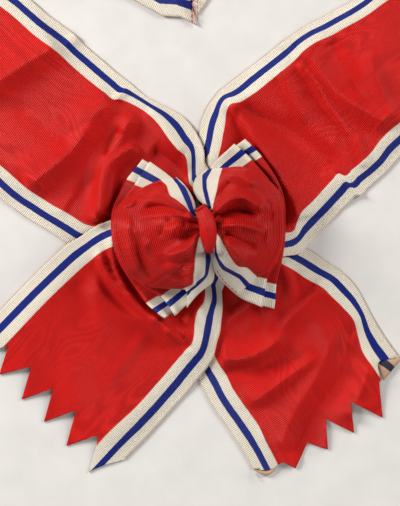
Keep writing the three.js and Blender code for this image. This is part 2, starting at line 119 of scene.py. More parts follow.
# Folds: a line on the picture, its height, and how wide it falls away on its left and right
def foldHeights(folds, x, y):
    total = np.zeros(np.shape(x))
    for fold in folds:
        line = alongLine(fold["line"], np.linspace(0, 1, 25))
        steps = np.hypot(*np.diff(line, axis=0).T)
        run = np.concatenate([[0], np.cumsum(steps)])
        near = np.full(np.shape(x), 1e9)
        side = np.zeros(np.shape(x))
        share = np.zeros(np.shape(x))
        for k in range(len(line) - 1):
            (ax, ay), (bx, by) = line[k], line[k + 1]
            dx, dy = bx - ax, by - ay
            t = np.clip(((x - ax) * dx + (y - ay) * dy) / (dx * dx + dy * dy), 0, 1)
            ox, oy = x - ax - t * dx, y - ay - t * dy
            away = np.hypot(ox, oy)
            closer = away < near
            near = np.where(closer, away, near)
            side = np.where(closer, dx * oy - dy * ox, side)
            share = np.where(closer, (run[k] + t * steps[k]) / run[-1], share)
        off = near / np.where(side > 0, fold["left"], fold["right"])
        shape = np.clip(1 - off, 0, 1) ** 1.8 if fold.get("crisp") else 1 - ease(0, 1, off)
        startFade, endFade = fold.get("fade", (0.0, 0.3))
        ends = ease(
            -1e-6, max(startFade, 1e-5), share,
        ) * (1 - ease(1 - max(endFade, 1e-5), 1 + 1e-6, share))
        if startFade == 0:
            ends = 1 - ease(1 - max(endFade, 1e-5), 1 + 1e-6, share)
        total += fold["height"] * shape * ends
    return total


# What has been laid so far, as heights on a square grid round the waist
class LaidCloth:
    def __init__(self):
        self.reach = 215
        self.tops = np.zeros((2 * self.reach + 1, 2 * self.reach + 1))
        self.spread = self.tops

    def add(self, grid, wall):
        rows, columns = grid.shape[:2]
        r = np.linspace(0, rows - 1, (rows - 1) * 4 + 1)
        c = np.linspace(0, columns - 1, (columns - 1) * 4 + 1)
        r0, c0 = np.minimum(r.astype(int), rows - 2), np.minimum(c.astype(int), columns - 2)
        fr, fc = (r - r0)[:, None, None], (c - c0)[None, :, None]
        near, far = grid[r0], grid[r0 + 1]
        points = (near[:, c0] * (1 - fc) + near[:, c0 + 1] * fc) * (1 - fr) + (
            far[:, c0] * (1 - fc) + far[:, c0 + 1] * fc
        ) * fr
        i = np.round(points[..., 0] + self.reach).astype(int).ravel()
        j = np.round(points[..., 1] + self.reach).astype(int).ravel()
        inside = (i >= 0) & (i < self.tops.shape[0]) & (j >= 0) & (j < self.tops.shape[1])
        np.maximum.at(self.tops, (i[inside], j[inside]), points[..., 2].ravel()[inside] + wall / 2)
        spread = self.tops.copy()
        for di in range(-2, 3):
            for dj in range(-2, 3):
                if di * di + dj * dj <= 5:
                    spread = np.maximum(spread, np.roll(np.roll(self.tops, di, 0), dj, 1))
        self.spread = spread

    def topAt(self, x, y):
        i = np.clip(np.round(x + self.reach).astype(int), 0, 2 * self.reach)
        j = np.clip(np.round(y + self.reach).astype(int), 0, 2 * self.reach)
        outside = (np.abs(x) > self.reach) | (np.abs(y) > self.reach)
        return np.where(outside, 0, self.spread[i, j])


laid = LaidCloth()


# Places are drawn as the camera sees them, so raised cloth stands a little nearer the picture's centre
def underCamera(grid):
    centre = np.array(studio["photoCentre"])
    moved = grid.copy()
    moved[..., :2] = centre + (grid[..., :2] - centre) * (1 - grid[..., 2:] * mm / studio["distance"])
    return moved


def settle(grid, wall, rounds=40):
    top = laid.topAt(grid[..., 0], grid[..., 1])
    need = wall / 2 + np.where(top > 0, top + cloth["gap"], 0)
    lift = need.copy()
    for _ in range(rounds):
        wide = np.pad(lift, 1, mode="edge")
        mean = (wide[:-2, 1:-1] + wide[2:, 1:-1] + wide[1:-1, :-2] + wide[1:-1, 2:]) / 4
        lift = np.maximum(need, mean)
    settled = grid.copy()
    settled[..., 2] += lift
    return settled


def ribbonMesh(name, grid, across, along, edge=None):
    rows, columns = grid.shape[:2]
    bm = bmesh.new()
    bmesh.ops.create_grid(bm, x_segments=columns - 1, y_segments=rows - 1, size=1)
    places = []
    for vertex in bm.verts:
        c = round((vertex.co.x + 1) / 2 * (columns - 1))
        r = round((vertex.co.y + 1) / 2 * (rows - 1))
        places.append(r * columns + c)
        x, y, z = grid[r, c]
        vertex.co = (waist[0] + x * mm, waist[1] + y * mm, z * mm)
    for face in bm.faces:
        face.smooth = True
    mesh = bpy.data.meshes.new(name)
    bm.to_mesh(mesh)
    bm.free()
    piece = bpy.data.objects.new(name, mesh)
    bpy.context.scene.collection.objects.link(piece)
    if edge is None:
        edge = np.minimum(across, cloth["width"] - across)
    corners = np.empty(len(mesh.loops), dtype=np.int32)
    mesh.loops.foreach_get("vertex_index", corners)
    cell = np.array(places)[corners]
    for mapName, first, second in (("weave", across, along), ("edge", edge, along)):
        layer = mesh.uv_layers.new(name=mapName)
        flat = np.stack(
            [np.broadcast_to(v, (rows, columns)).ravel()[cell] * mm for v in (first, second)], axis=-1,
        )
        layer.data.foreach_set("uv", flat.ravel().astype(np.float32))
    return piece


def thicken(piece, wall):
    solid = piece.modifiers.new("cloth wall", "SOLIDIFY")
    solid.thickness = wall * mm
    solid.offset = 0
    return piece


# How the stripes and the red lie in a gathered length: the stripes keep their width, the middle closes up.
# A stripe's rows say how far its border with the red, its blue and its selvedge are from the middle line.
def stripePlaces(look, which, along):
    edge = columnAt(look["fan"], "along", which, along)
    width = columnAt(look["fan"], "along", "left", along) + columnAt(look["fan"], "along", "right", along)
    stripe = np.minimum(cloth["stripe"], 0.25 * width)
    places = [edge - stripe, edge - 0.49 * stripe, edge]
    rows = np.array(look[which + "Stripe"])
    seen = ease(rows[0, 0] - 12, rows[0, 0], along) * (1 - ease(rows[-1, 0], rows[-1, 0] + 40, along))
    read = [throughPoints(rows[:, 0], rows[:, k], along) for k in (1, 2, 3)]
    return [place * (1 - seen) + readPlace * seen for place, readPlace in zip(places, read)]


def sideAt(look, along, across):
    leftBorder, leftBlue, leftEdge = stripePlaces(look, "left", along)
    rightBorder, rightBlue, rightEdge = stripePlaces(look, "right", along)
    outer, inner = 7.4, 15.0
    side = leftBorder + (-rightBorder - leftBorder) * (across - inner) / (100 - 2 * inner)
    share = (across - outer) / (inner - outer)
    side = np.where(across < inner, leftBlue + (leftBorder - leftBlue) * share, side)
    side = np.where(across < outer, leftEdge + (leftBlue - leftEdge) * across / outer, side)
    back = 100 - across
    share = (back - outer) / (inner - outer)
    side = np.where(back < inner, -rightBlue - (rightBorder - rightBlue) * share, side)
    return np.where(back < outer, -rightEdge - (rightBlue - rightEdge) * back / outer, side)


# The slack that lets a fold dip as well as rise, none at the selvedges
def slack(across, along, end):
    inside = ease(0, 15, across) * ease(100, 85, across)
    return cloth["slack"] * inside * ease(15, 50, along) * ease(end, end - 22, along)


def pleatHeights(fan, along, across):
    pleats = 3
    width = (columnAt(fan, "along", "left", along) + columnAt(fan, "along", "right", along)) / 100
    height = width * 100 / pleats / math.pi * np.sqrt(np.maximum(1 - width, 0)) * (1 - ease(28, 62, along))
    return height * (0.5 - 0.5 * np.cos(2 * math.pi * pleats * across / 100))


# Left and right edges of each gathered length, out from the waist along its own line
rightTailPiece = {
    "turn": 305.8,
    "length": 118.0,
    "fan": [
        {"along": -10, "left": 8, "right": 9},
        {"along": 20, "left": 22, "right": 24},
        {"along": 39, "left": 36.2, "right": 38},
        {"along": 60, "left": 44, "right": 47},
        {"along": 72, "left": 46.7, "right": 49.2},
        {"along": 85, "left": 43.4, "right": 50.7},
        {"along": 107, "left": 43.3, "right": 52.7},
        {"along": 140, "left": 43.3, "right": 54},
    ],
    # where the cut end lies: place across the ribbon, then x and y; its two outer teeth are curled
    "teeth": [
        (0, 100.5, -66.8), (7.4, 93.8, -68.2), (10, 89.7, -69.1), (12.5, 89.5, -72.2), (15, 91.2, -78.1),
        (16.67, 90.2, -80.2), (25, 92.1, -98.3), (33.33, 75.5, -90), (41.67, 77.3, -106.2), (50, 62.6, -99),
        (58.33, 63.7, -114.7), (66.67, 53.1, -111.3), (75, 46.9, -124.5), (83.33, 40.5, -121.4),
        (85, 37.6, -122.7), (89, 35.3, -124.8), (92.6, 32.7, -125.3), (96.3, 28.9, -125.5),
        (100, 24.7, -125),
    ],
    "leftStripe": [
        (36, 20, 27, 34.5),
        (44, 24.2, 31, 38.4),
        (52, 27.2, 34.3, 41.2),
        (60, 31, 38.1, 44.2),
        (68, 32.6, 39.4, 45.6),
        (76, 34, 40.3, 45.2),
        (84, 34.6, 39.5, 44),
        (92, 31.6, 36.9, 43),
        (100, 28.8, 35.8, 42.6),
        (108, 28.4, 35.9, 42.8),
        (116, 28.3, 35.8, 43),
        (124, 28.3, 35.8, 43.3),
    ],
    "rightStripe": [
        (52, 33.6, 40, 46.6),
        (60, 35.2, 41.8, 48.3),
        (68, 35.6, 42.7, 49.6),
        (76, 37, 44, 50.6),
        (84, 37.2, 44.4, 51),
        (92, 37.2, 44.4, 51),
        (100, 37.4, 44.9, 51.6),
        (108, 39, 46, 52.6),
        (116, 40.2, 47.4, 54),
        (124, 41.5, 48.6, 55),
    ],
    "folds": [
        {
            "line": [
                (60.8, -27.8), (58.3, -32), (53.1, -37.1), (47.9, -41.2), (43.8, -45.4), (39.7, -50.5),
                (36.1, -55.7),
            ],
            "height": 5.6, "left": 14, "right": 3.4, "crisp": True, "fade": (0.12, 0.25),
        },
        {
            "line": [(41.8, -50.5), (36.1, -59.3), (27.3, -65), (18, -68), (7.7, -67.5)],
            "height": 7.5, "left": 8.4, "right": 12.6, "crisp": True, "fade": (0.25, 0.06),
        },
        {
            "line": [(7.7, -72.7), (15.5, -73.7), (28.4, -73.2), (43.8, -69.6), (60.3, -62.4)],
            "height": -2.5, "left": 6, "right": 6, "fade": (0.1, 0.3),
        },
        {
            "line": [(20.1, -91.8), (29.4, -87.1), (36.1, -82.5), (49, -72.2), (60.3, -63.9)],
            "height": 5.3, "left": 11.2, "right": 7, "crisp": True, "fade": (0.15, 0.2),
        },
        {
            "line": [
                (77.8, -46.4), (76.3, -60.3), (72.7, -73.2), (67.5, -83.5), (61.9, -89.7), (54.6, -101.6),
                (49, -118.6),
            ],
            "height": -5.6, "left": 12.6, "right": 12.6, "crisp": True, "fade": (0.15, 0.02),
        },
        {
            "line": [(69.6, -47.4), (64.4, -62.9), (55.2, -80.9), (43.8, -101.6), (39.7, -117)],
            "height": 3.4, "left": 15.4, "right": 16.8, "crisp": True, "fade": (0.2, 0.1),
        },
        {
            "line": [(86.1, -63.9), (83, -78.4), (78.9, -89.7), (75.8, -99)],
            "height": 2.8, "left": 9.8, "right": 11.2, "crisp": True, "fade": (0.3, 0.05),
        },
        {
            "line": [(27.3, -37.1), (18, -43.3), (10.3, -50.5)],
            "height": 3.1, "left": 5.6, "right": 5.6, "crisp": True, "fade": (0.1, 0.2),
        },
        {
            "line": [(39.7, -17.5), (43.8, -29.4), (44.8, -40.2)],
            "height": 2.2, "left": 5, "right": 4, "fade": (0.1, 0.3),
        },
        {
            "line": [(26.3, -37.1), (29.4, -46.4), (27.3, -57.7)],
            "height": -1.8, "left": 4, "right": 5, "fade": (0.1, 0.3),
        },
        {
            "line": [(64.4, -22.7), (61.3, -26.8), (58.3, -30.9)],
            "height": 1.8, "left": 4, "right": 3, "fade": (0.2, 0.2),
        },
        {
            "line": [(49, -37.1), (60.3, -50), (68.6, -63.9)],
            "height": 1.3, "left": 8, "right": 8, "fade": (0.3, 0.3),
        },
    ],
}
leftTailPiece = {
    "turn": 225.9,
    "length": 115.0,
    "fan": [
        {"along": -10, "left": 10, "right": 8},
        {"along": 14, "left": 23, "right": 22},
        {"along": 20, "left": 32, "right": 28},
        {"along": 30, "left": 40, "right": 37.5},
        {"along": 42, "left": 47.5, "right": 42.2},
        {"along": 59, "left": 53.2, "right": 45.7},
        {"along": 82, "left": 53.9, "right": 46.8},
        {"along": 115, "left": 54.9, "right": 46.7},
        {"along": 140, "left": 54.9, "right": 46.7},
    ],
    "teeth": [
        (0, -41.2, -119.6), (5.56, -52.6, -123), (8.33, -57.5, -125), (9.72, -60.3, -126.6),
        (15, -56.2, -112.9), (16.67, -55.4, -107.2), (25, -71.9, -112.9), (33.33, -66.8, -94.3),
        (41.67, -83.5, -100.5), (50, -78.6, -83), (58.33, -95.1, -88.9), (66.67, -90, -71.7),
        (75, -106.7, -76), (83.33, -101.8, -60.8), (85, -104.6, -61.6), (91.67, -117, -64.4),
        (100, -110.1, -46.7),
    ],
    "leftStripe": [
        (17, 14.5, 22, 28.5),
        (23, 22.3, 29, 35),
        (28, 26.2, 31.5, 39),
        (33, 27, 34.8, 43),
        (38, 29.6, 38.4, 45.6),
        (44, 34.6, 42, 49.2),
        (47.6, 36.8, 43.4, 50.5),
        (52, 36.8, 43.9, 51.4),
        (60, 37.2, 44.5, 52),
        (68, 37.8, 45.3, 52.8),
        (76, 38.2, 45.8, 53),
        (84, 38.6, 46.2, 53.4),
        (92, 38.8, 46.4, 53.6),
        (100, 39, 46.6, 54),
        (116, 39.4, 46.8, 54),
        (132, 40, 47.2, 54),
    ],
    "rightStripe": [
        (30, 20, 29, 37.6),
        (36, 25, 33.7, 40.3),
        (42, 28.6, 35.8, 42.3),
        (48, 30.2, 37.1, 43.4),
        (56, 31.2, 38.3, 45.6),
        (60, 31.6, 38.7, 45.9),
        (68, 32, 39.1, 46.4),
        (76, 32.4, 39.5, 46.6),
        (92, 32.6, 39.9, 46.8),
        (108, 32.2, 39.7, 46.6),
        (132, 32.2, 39.7, 46.6),
    ],
    "folds": [
        {
            "line": [
                (-48.5, -4.1), (-47.4, -17.5), (-43.8, -26.8), (-37.1, -37.1), (-28.4, -45.4), (-20.6, -51),
                (-12.9, -56.7),
            ],
            "height": 7.6, "left": 4.0, "right": 2.8, "crisp": True, "fade": (0.0, 0.2),
        },
        {
            "line": [
                (-54.6, -9.3), (-53.1, -17.5), (-47.4, -27.8), (-39.7, -37.1), (-32, -44.8), (-20.6, -52.6),
                (-9.8, -60.8),
            ],
            "height": 6.2, "left": 3.8, "right": 4.6, "crisp": True, "fade": (0.1, 0.12),
        },
        {
            "line": [
                (-58.3, -20.6), (-55.7, -29.4), (-50.5, -38.1), (-42.8, -44.8), (-32.5, -49),
                (-20.6, -54.6), (-9.3, -61.3),
            ],
            "height": 3.8, "left": 5.6, "right": 9.8, "crisp": True, "fade": (0.15, 0.2),
        },
        {
            "line": [(-56.2, -29.4), (-56.7, -37.1), (-54.1, -48.5), (-47.9, -60.3)],
            "height": 2, "left": 8.4, "right": 12.6, "crisp": True, "fade": (0.1, 0.4),
        },
        {
            "line": [(-68.6, -25.8), (-61.9, -37.1), (-56.2, -52.6)],
            "height": -1, "left": 7, "right": 9, "fade": (0.2, 0.4),
        },
        {
            "line": [(-28.4, -46.4), (-18, -46.9), (-6.2, -48.5)],
            "height": 2.8, "left": 3.5, "right": 4.2, "crisp": True, "fade": (0.1, 0.1),
        },
        {
            "line": [(-20.6, -52.1), (-12.9, -53.1), (-5.7, -54.6)],
            "height": 2.2, "left": 3.5, "right": 3.5, "crisp": True, "fade": (0.1, 0.1),
        },
        {
            "line": [(-10.3, -62.9), (-7.2, -63.9), (-4.1, -67)],
            "height": 1.2, "left": 2, "right": 2, "fade": (0.2, 0.2),
        },
        {
            "line": [(-29.4, -52.6), (-38.7, -65.5), (-56.2, -88.7)],
            "height": 1.1, "left": 5, "right": 5, "fade": (0.1, 0.4),
        },
        {
            "line": [(-74.7, -62.9), (-67, -80.9), (-62.4, -99)],
            "height": 1.5, "left": 12, "right": 14, "fade": (0.3, 0.3),
        },
    ],
}
rightBandPiece = {
    "turn": 39.4,
    "seamTurn": 57.0,
    "reach": 400.0,
    "back": 300.0,
    "bend": 0.0,
    "lap": 0.0,
    "seamLevel": 0.0,
    "fan": [
        {"along": -10, "left": 9, "right": 10},
        {"along": 9, "left": 11.2, "right": 20},
        {"along": 18, "left": 23.8, "right": 32},
        {"along": 31, "left": 41.3, "right": 40.5},
        {"along": 40, "left": 46.8, "right": 41},
        {"along": 50, "left": 50.4, "right": 40.8},
        {"along": 68, "left": 49.2, "right": 37.8},
        {"along": 84, "left": 50, "right": 36.6},
        {"along": 101, "left": 48.5, "right": 36.2},
        {"along": 133, "left": 43, "right": 42},
        {"along": 220, "left": 50, "right": 50},
    ],
    "leftStripe": [
        (26, 22, 30.3, 37.5),
        (30, 25, 33.5, 40.7),
        (34, 28, 36.9, 44.2),
        (38, 31.4, 40.2, 46.3),
        (42, 34.8, 42.3, 48.2),
        (47, 39.6, 45.4, 49.4),
        (51, 41.2, 45.9, 50.3),
        (55, 39.1, 44.4, 50.2),
        (60, 38.3, 43.6, 50),
        (66, 37.6, 43.9, 49.8),
        (74, 37.6, 43.8, 49.4),
        (90, 37.6, 43.4, 49.2),
        (98, 38.4, 43.9, 48.8),
        (106, 37.8, 43.2, 48),
        (114, 35.6, 41.2, 46.4),
        (122, 34.2, 39.7, 45),
        (130, 32.6, 38.3, 43.4),
        (138, 31.6, 37.4, 42.3),
    ],
    "rightStripe": [
        (22, 22, 30, 37),
        (29.5, 27.6, 34.2, 41.5),
        (34.5, 30.2, 34.4, 41.2),
        (39, 27.6, 33.2, 40.6),
        (44, 25.2, 32.7, 39.8),
        (52, 24.6, 31.8, 39),
        (60, 23.4, 30.9, 37.8),
        (68, 22.3, 29.7, 37.2),
        (71.3, 22, 29.2, 36.8),
        (73.3, 25.3, 31.6, 38.4),
        (78, 25, 31.1, 37.8),
        (84, 25, 31.3, 37.6),
        (92, 24.2, 30.9, 37.2),
        (100, 22.2, 29, 36),
        (108, 21.6, 28.5, 35.5),
    ],
    "folds": [
        {
            "line": [(63.4, 33), (68.6, 28.1), (74.7, 22.7), (84, 14.9)],
            "height": 2.4, "left": 1.3, "right": 12, "crisp": True, "fade": (0.1, 0.0),
        },
        {
            "line": [
                (12.4, 68), (18, 58.3), (24.2, 47.9), (29.4, 40.2), (36.1, 29.9), (40.7, 22.2),
                (44.8, 14.4), (48, 4),
            ],
            "height": 7, "left": 25.2, "right": 3.6, "crisp": True, "fade": (0.08, 0.02),
        },
        {
            "line": [(16, 63.9), (29.4, 56.7), (43.8, 47.9), (59.3, 36.1), (69, 26.9)],
            "height": -6.9, "left": 11.2, "right": 11.2, "crisp": True, "fade": (0.08, 0.2),
        },
        {
            "line": [
                (47.9, 87.1), (51.5, 82), (55.7, 76.8), (59.8, 70.1), (63.4, 63.9), (68, 58.3),
                (72.2, 52.1), (76.3, 46.9),
            ],
            "height": 3.0, "left": 3, "right": 3, "crisp": True, "fade": (0.08, 0.1),
        },
        {
            "line": [(50.1, 94.8), (58.3, 82.5), (64.4, 74.2), (73.7, 66.5), (85.1, 59.8), (96.8, 52.6)],
            "height": 5.7, "left": 12.6, "right": 12.6, "crisp": True, "fade": (0.1, 0.1),
        },
        {
            "line": [(84, 92.7), (89.2, 78.9), (94.3, 67), (101.5, 53.7)],
            "height": 3.0, "left": 8.4, "right": 11.2, "crisp": True, "fade": (0.15, 0.1),
        },
        {
            "line": [(40.2, 82.5), (43.8, 71.1), (49, 61.9), (55.2, 52.6)],
            "height": 2.8, "left": 8, "right": 6, "fade": (0.1, 0.3),
        },
        {
            "line": [(77.8, 50.5), (80.9, 40.2), (83, 32)],
            "height": 2.4, "left": 4, "right": 5, "fade": (0.3, 0.05),
        },
        {
            "line": [(64.4, 97.9), (72.2, 81.4), (84, 67)],
            "height": -3.0, "left": 9.8, "right": 11.2, "crisp": True, "fade": (0.1, 0.3),
        },
        {
            "line": [(85.6, 86.6), (91.8, 71.1), (99.5, 55.7)],
            "height": 2.8, "left": 3, "right": 8, "fade": (0.2, 0.1),
        },
        {
            "line": [(18, 40.2), (29.4, 26.8), (38.7, 11.9)],
            "height": -3.0, "left": 7, "right": 7, "crisp": True, "fade": (0.05, 0.05),
        },
        {
            "line": [(40.2, 96.9), (44.8, 93.8), (48.5, 87.6)],
            "height": 2.1, "left": 3, "right": 3, "fade": (0.1, 0.1),
        },
    ],
}
leftBandPiece = {
    "turn": 143.0,
    "seamTurn": 156.0,
    "reach": 400.0,
    "back": 320.0,
    "bend": -26.0,
    "lap": 3.0,
    "seamLevel": 0.85,
    "fan": [
        {"along": -10, "left": 9, "right": 9},
        {"along": 9, "left": 16, "right": 11.5},
        {"along": 19, "left": 27, "right": 25.5},
        {"along": 30, "left": 38, "right": 34.5},
        {"along": 44, "left": 47, "right": 40},
        {"along": 58, "left": 49.5, "right": 39},
        {"along": 71, "left": 50, "right": 37},
        {"along": 100, "left": 51, "right": 38.7},
        {"along": 141, "left": 51, "right": 40.4},
        {"along": 220, "left": 50, "right": 50},
    ],
    "leftStripe": [
        (54, 36.2, 42.9, 49.6),
        (62, 36.8, 43.7, 50),
        (70, 38, 44.5, 50.8),
        (78, 38.6, 45, 51.6),
        (86, 39, 45.6, 51.8),
        (94, 38.6, 45.4, 51.8),
        (102, 38, 44.4, 51),
    ],
    "rightStripe": [
        (20, 13.2, 15.9, 26.5),
        (24.6, 18, 22, 31.8),
        (30, 23.4, 28.4, 35.2),
        (36, 24, 30.5, 37.8),
        (44, 26, 33.5, 39.4),
        (52, 28.6, 34.4, 38.6),
        (60, 29.6, 33.7, 36.8),
        (68, 28.8, 33, 36.2),
        (75.8, 26.8, 31.8, 36.8),
        (78.2, 24.6, 30.4, 36.8),
        (84, 24.6, 30.8, 36.8),
        (92, 24.8, 31.2, 37.4),
        (100, 25.2, 31.8, 37.8),
        (108, 25.8, 32.3, 38.4),
        (116, 26.6, 33.2, 39.6),
        (132, 26.6, 33.1, 39.4),
        (140, 27.4, 33.7, 40),
        (148, 28, 34.3, 40.5),
    ],
    "folds": [
        {
            "line": [
                (-73.7, 96.4), (-78.4, 93.8), (-85.1, 90), (-95.4, 83.8), (-105.7, 77.1), (-118.6, 68.6),
            ],
            "height": 7.0, "left": 15, "right": 34.8, "crisp": True, "fade": (0.15, 0.0),
        },
        {
            "line": [
                (-45.4, 67.5), (-52.1, 62.4), (-59.3, 56.2), (-63.9, 47.9), (-69, 40.7), (-76.7, 33.5),
                (-84.5, 27.4), (-94.2, 19.2),
            ],
            "height": 8.1, "left": 13, "right": 18.8, "crisp": True, "fade": (0.1, 0.12),
        },
        {
            "line": [(-47.4, 67.5), (-53.1, 60.8), (-58.3, 56.7), (-67, 51), (-79.9, 42.3)],
            "height": -2.5, "left": 5.8, "right": 7.2, "crisp": True, "fade": (0.05, 0.3),
        },
        {
            "line": [
                (-35.6, 60.8), (-39.7, 54.6), (-42.8, 49), (-47.4, 41.2), (-52.1, 34), (-54.6, 24.7),
                (-55.7, 14.4), (-57.7, 2.1),
            ],
            "height": 7.2, "left": 7.2, "right": 8.7, "crisp": True, "fade": (0.1, 0.05),
        },
        {
            "line": [
                (-34.5, 43.8), (-40.7, 40.2), (-47.4, 35.1), (-51.5, 28.9), (-53.1, 19.6), (-53.6, 6.7),
            ],
            "height": 6.5, "left": 7.2, "right": 5.1, "crisp": True, "fade": (0.1, 0.05),
        },
        {
            "line": [(-43.8, 53.1), (-50, 40.2), (-58.3, 24.7), (-69.6, 16.5)],
            "height": -3.1, "left": 8.7, "right": 8.7, "crisp": True, "fade": (0.1, 0.3),
        },
        {
            "line": [(-43.8, 51.5), (-47.9, 45.4), (-52.1, 37.1)],
            "height": -2.2, "left": 3, "right": 3, "fade": (0.1, 0.2),
        },
        {
            "line": [(-28.4, 40.2), (-18, 35.1), (-7.7, 24.7)],
            "height": -3.5, "left": 10.2, "right": 10.2, "crisp": True, "fade": (0.1, 0.1),
        },
        {
            "line": [(-29.4, 61.9), (-22.2, 54.6), (-17, 45.4), (-10.8, 39.2)],
            "height": 2.5, "left": 8.7, "right": 8.7, "crisp": True, "fade": (0.1, 0.1),
        },
        {
            "line": [(-47.9, 66.5), (-44.3, 69.1), (-40.7, 72.2)],
            "height": 2.2, "left": 2.5, "right": 3, "fade": (0.05, 0.05),
        },
        {
            "line": [(-74.7, 94.9), (-69.6, 96.9), (-65.5, 100.5)],
            "height": 1.9, "left": 4, "right": 5, "fade": (0.1, 0.1),
        },
        {
            "line": [(-100.5, 66), (-82.5, 53.1), (-61.9, 35.1)],
            "height": -1.5, "left": 10, "right": 10, "fade": (0.2, 0.2),
        },
        {
            "line": [(-74.7, 7.2), (-71.7, 14.4), (-67, 19.6)],
            "height": 1.4, "left": 4, "right": 4, "fade": (0.1, 0.2),
        },
    ],
}
seam = {
    "x": -25.5,
    "y": 167.8,
    "ripple": [
        (-39.7, 0), (-29.4, -1), (-22.7, -2.1), (-18.8, -0.5), (-13.9, 1.8), (-10, 2.3), (-5.7, 2.1),
        (-2.6, 0.5), (4.1, 0),
    ],
}


def tailRibbon(look):
    columns, length = cloth["columns"], look["length"]
    cutStart = length - cloth["cutZone"]
    across = np.linspace(0, 100, columns + 1)
    turn = math.radians(look["turn"])
    cut = np.array(look["teeth"], float)
    cut = np.stack([np.interp(across, cut[:, 0], cut[:, k]) for k in (1, 2)], axis=-1)
    cutAlong, cutSide = cut @ heading(turn), cut @ leftOf(turn)
    rows = np.concatenate([
        np.arange(-cloth["tuck"], cutStart, cloth["rowStep"]), np.linspace(cutStart, length, 22),
    ])
    share = np.clip((rows - cutStart) / cloth["cutZone"], 0, 1)[:, None]
    closing = cutStart + share * (np.minimum(cutAlong, length)[None] - cutStart)
    alongGrid = np.where(share > 0, closing, rows[:, None])
    teeth = alongGrid[-1] + (cutAlong - alongGrid[-1]) * np.linspace(0, 1, 9)[1:, None]
    alongGrid = np.concatenate([alongGrid, teeth])
    acrossGrid = np.repeat(across[None], len(alongGrid), axis=0)
    side = sideAt(look, alongGrid, acrossGrid)
    side = side + ease(
        length - 25, length - 2, alongGrid,
    ) * (cutSide - sideAt(look, cutAlong, across))[None]
    place = alongGrid[..., None] * heading(turn) + side[..., None] * leftOf(turn)
    height = pleatHeights(look["fan"], alongGrid, acrossGrid)
    height = height + foldHeights(look["folds"], place[..., 0], place[..., 1])
    height = height + slack(acrossGrid, alongGrid, length + 16)
    grid = np.concatenate([place, np.maximum(height, 0)[..., None]], axis=-1)
    return grid, acrossGrid, alongGrid, len(grid)


def foldBetween(before, after):
    turn = (after - before + math.pi) % (2 * math.pi) - math.pi
    crease = before + turn / 2
    sine = math.sin(crease - before)
    slant = math.cos(crease - before) / sine
    return {"sine": abs(sine), "slant": slant, "normal": -leftOf(crease) * np.sign(sine)}


# Out from the bow, fold, across, fold, and back to the shoulder seam
def bandRoute(look):
    first, seamTurn, bend = (math.radians(look[key]) for key in ("turn", "seamTurn", "bend"))
    back = look["back"]
    chord = back if bend == 0 else 2 * back / bend * math.sin(bend / 2)
    returnStart = np.array([seam["x"], seam["y"]]) + heading(seamTurn + bend / 2) * chord
    last = seamTurn + bend + math.pi
    firstFold = heading(first) * look["reach"]
    slip = math.pi * cloth["press"]
    run = returnStart - firstFold
    for _ in range(8):
        middle = math.atan2(run[1], run[0])
        folds = [foldBetween(first, middle), foldBetween(middle, last)]
        secondStart = firstFold + folds[0]["normal"] * slip
        run = returnStart - folds[1]["normal"] * slip - secondStart
    middle = math.atan2(run[1], run[0])
    folds[0]["at"] = look["reach"]
    folds[1]["at"] = look["reach"] + float(np.hypot(*run))
    frames = [
        {"origin": np.zeros(2), "from": 0.0, "heading": first, "turn": 1},
        {"origin": secondStart, "from": folds[0]["at"], "heading": middle, "turn": -1},
        {"origin": returnStart, "from": folds[1]["at"], "heading": last, "turn": 1},
    ]
    return {"folds": folds, "frames": frames, "bend": -bend, "end": folds[1]["at"] + back}


def layPoint(route, along, side, height):
    press = cloth["press"]
    for k in range(3):
        part = route["frames"][k]
        level = k * 2 * press
        if k == 2:
            bent = min(along, route["end"]) - part["from"]
            turned = route["bend"] * bent / (route["end"] - part["from"])
            chord = bent if turned == 0 else bent * math.sin(turned / 2) / (turned / 2)
            place = (
                part["origin"]
                + heading(part["heading"] + turned / 2) * chord
                + heading(part["heading"] + turned) * max(along - route["end"], 0)
                + leftOf(part["heading"] + turned) * side * part["turn"]
            )
            return (*place, height + level)
        fold = route["folds"][k]
        place = part["origin"] + heading(part["heading"]) * (along - part["from"])
        place = place + leftOf(part["heading"]) * side * part["turn"]
        past = (along - fold["at"] - fold["slant"] * side * part["turn"]) * fold["sine"]
        if past <= 0:
            return (*place, height + level)
        if past < math.pi * press:
            angle = past / press
            place = place + fold["normal"] * (press * math.sin(angle) - past)
            return (*place, height + level + press * (1 - math.cos(angle)))


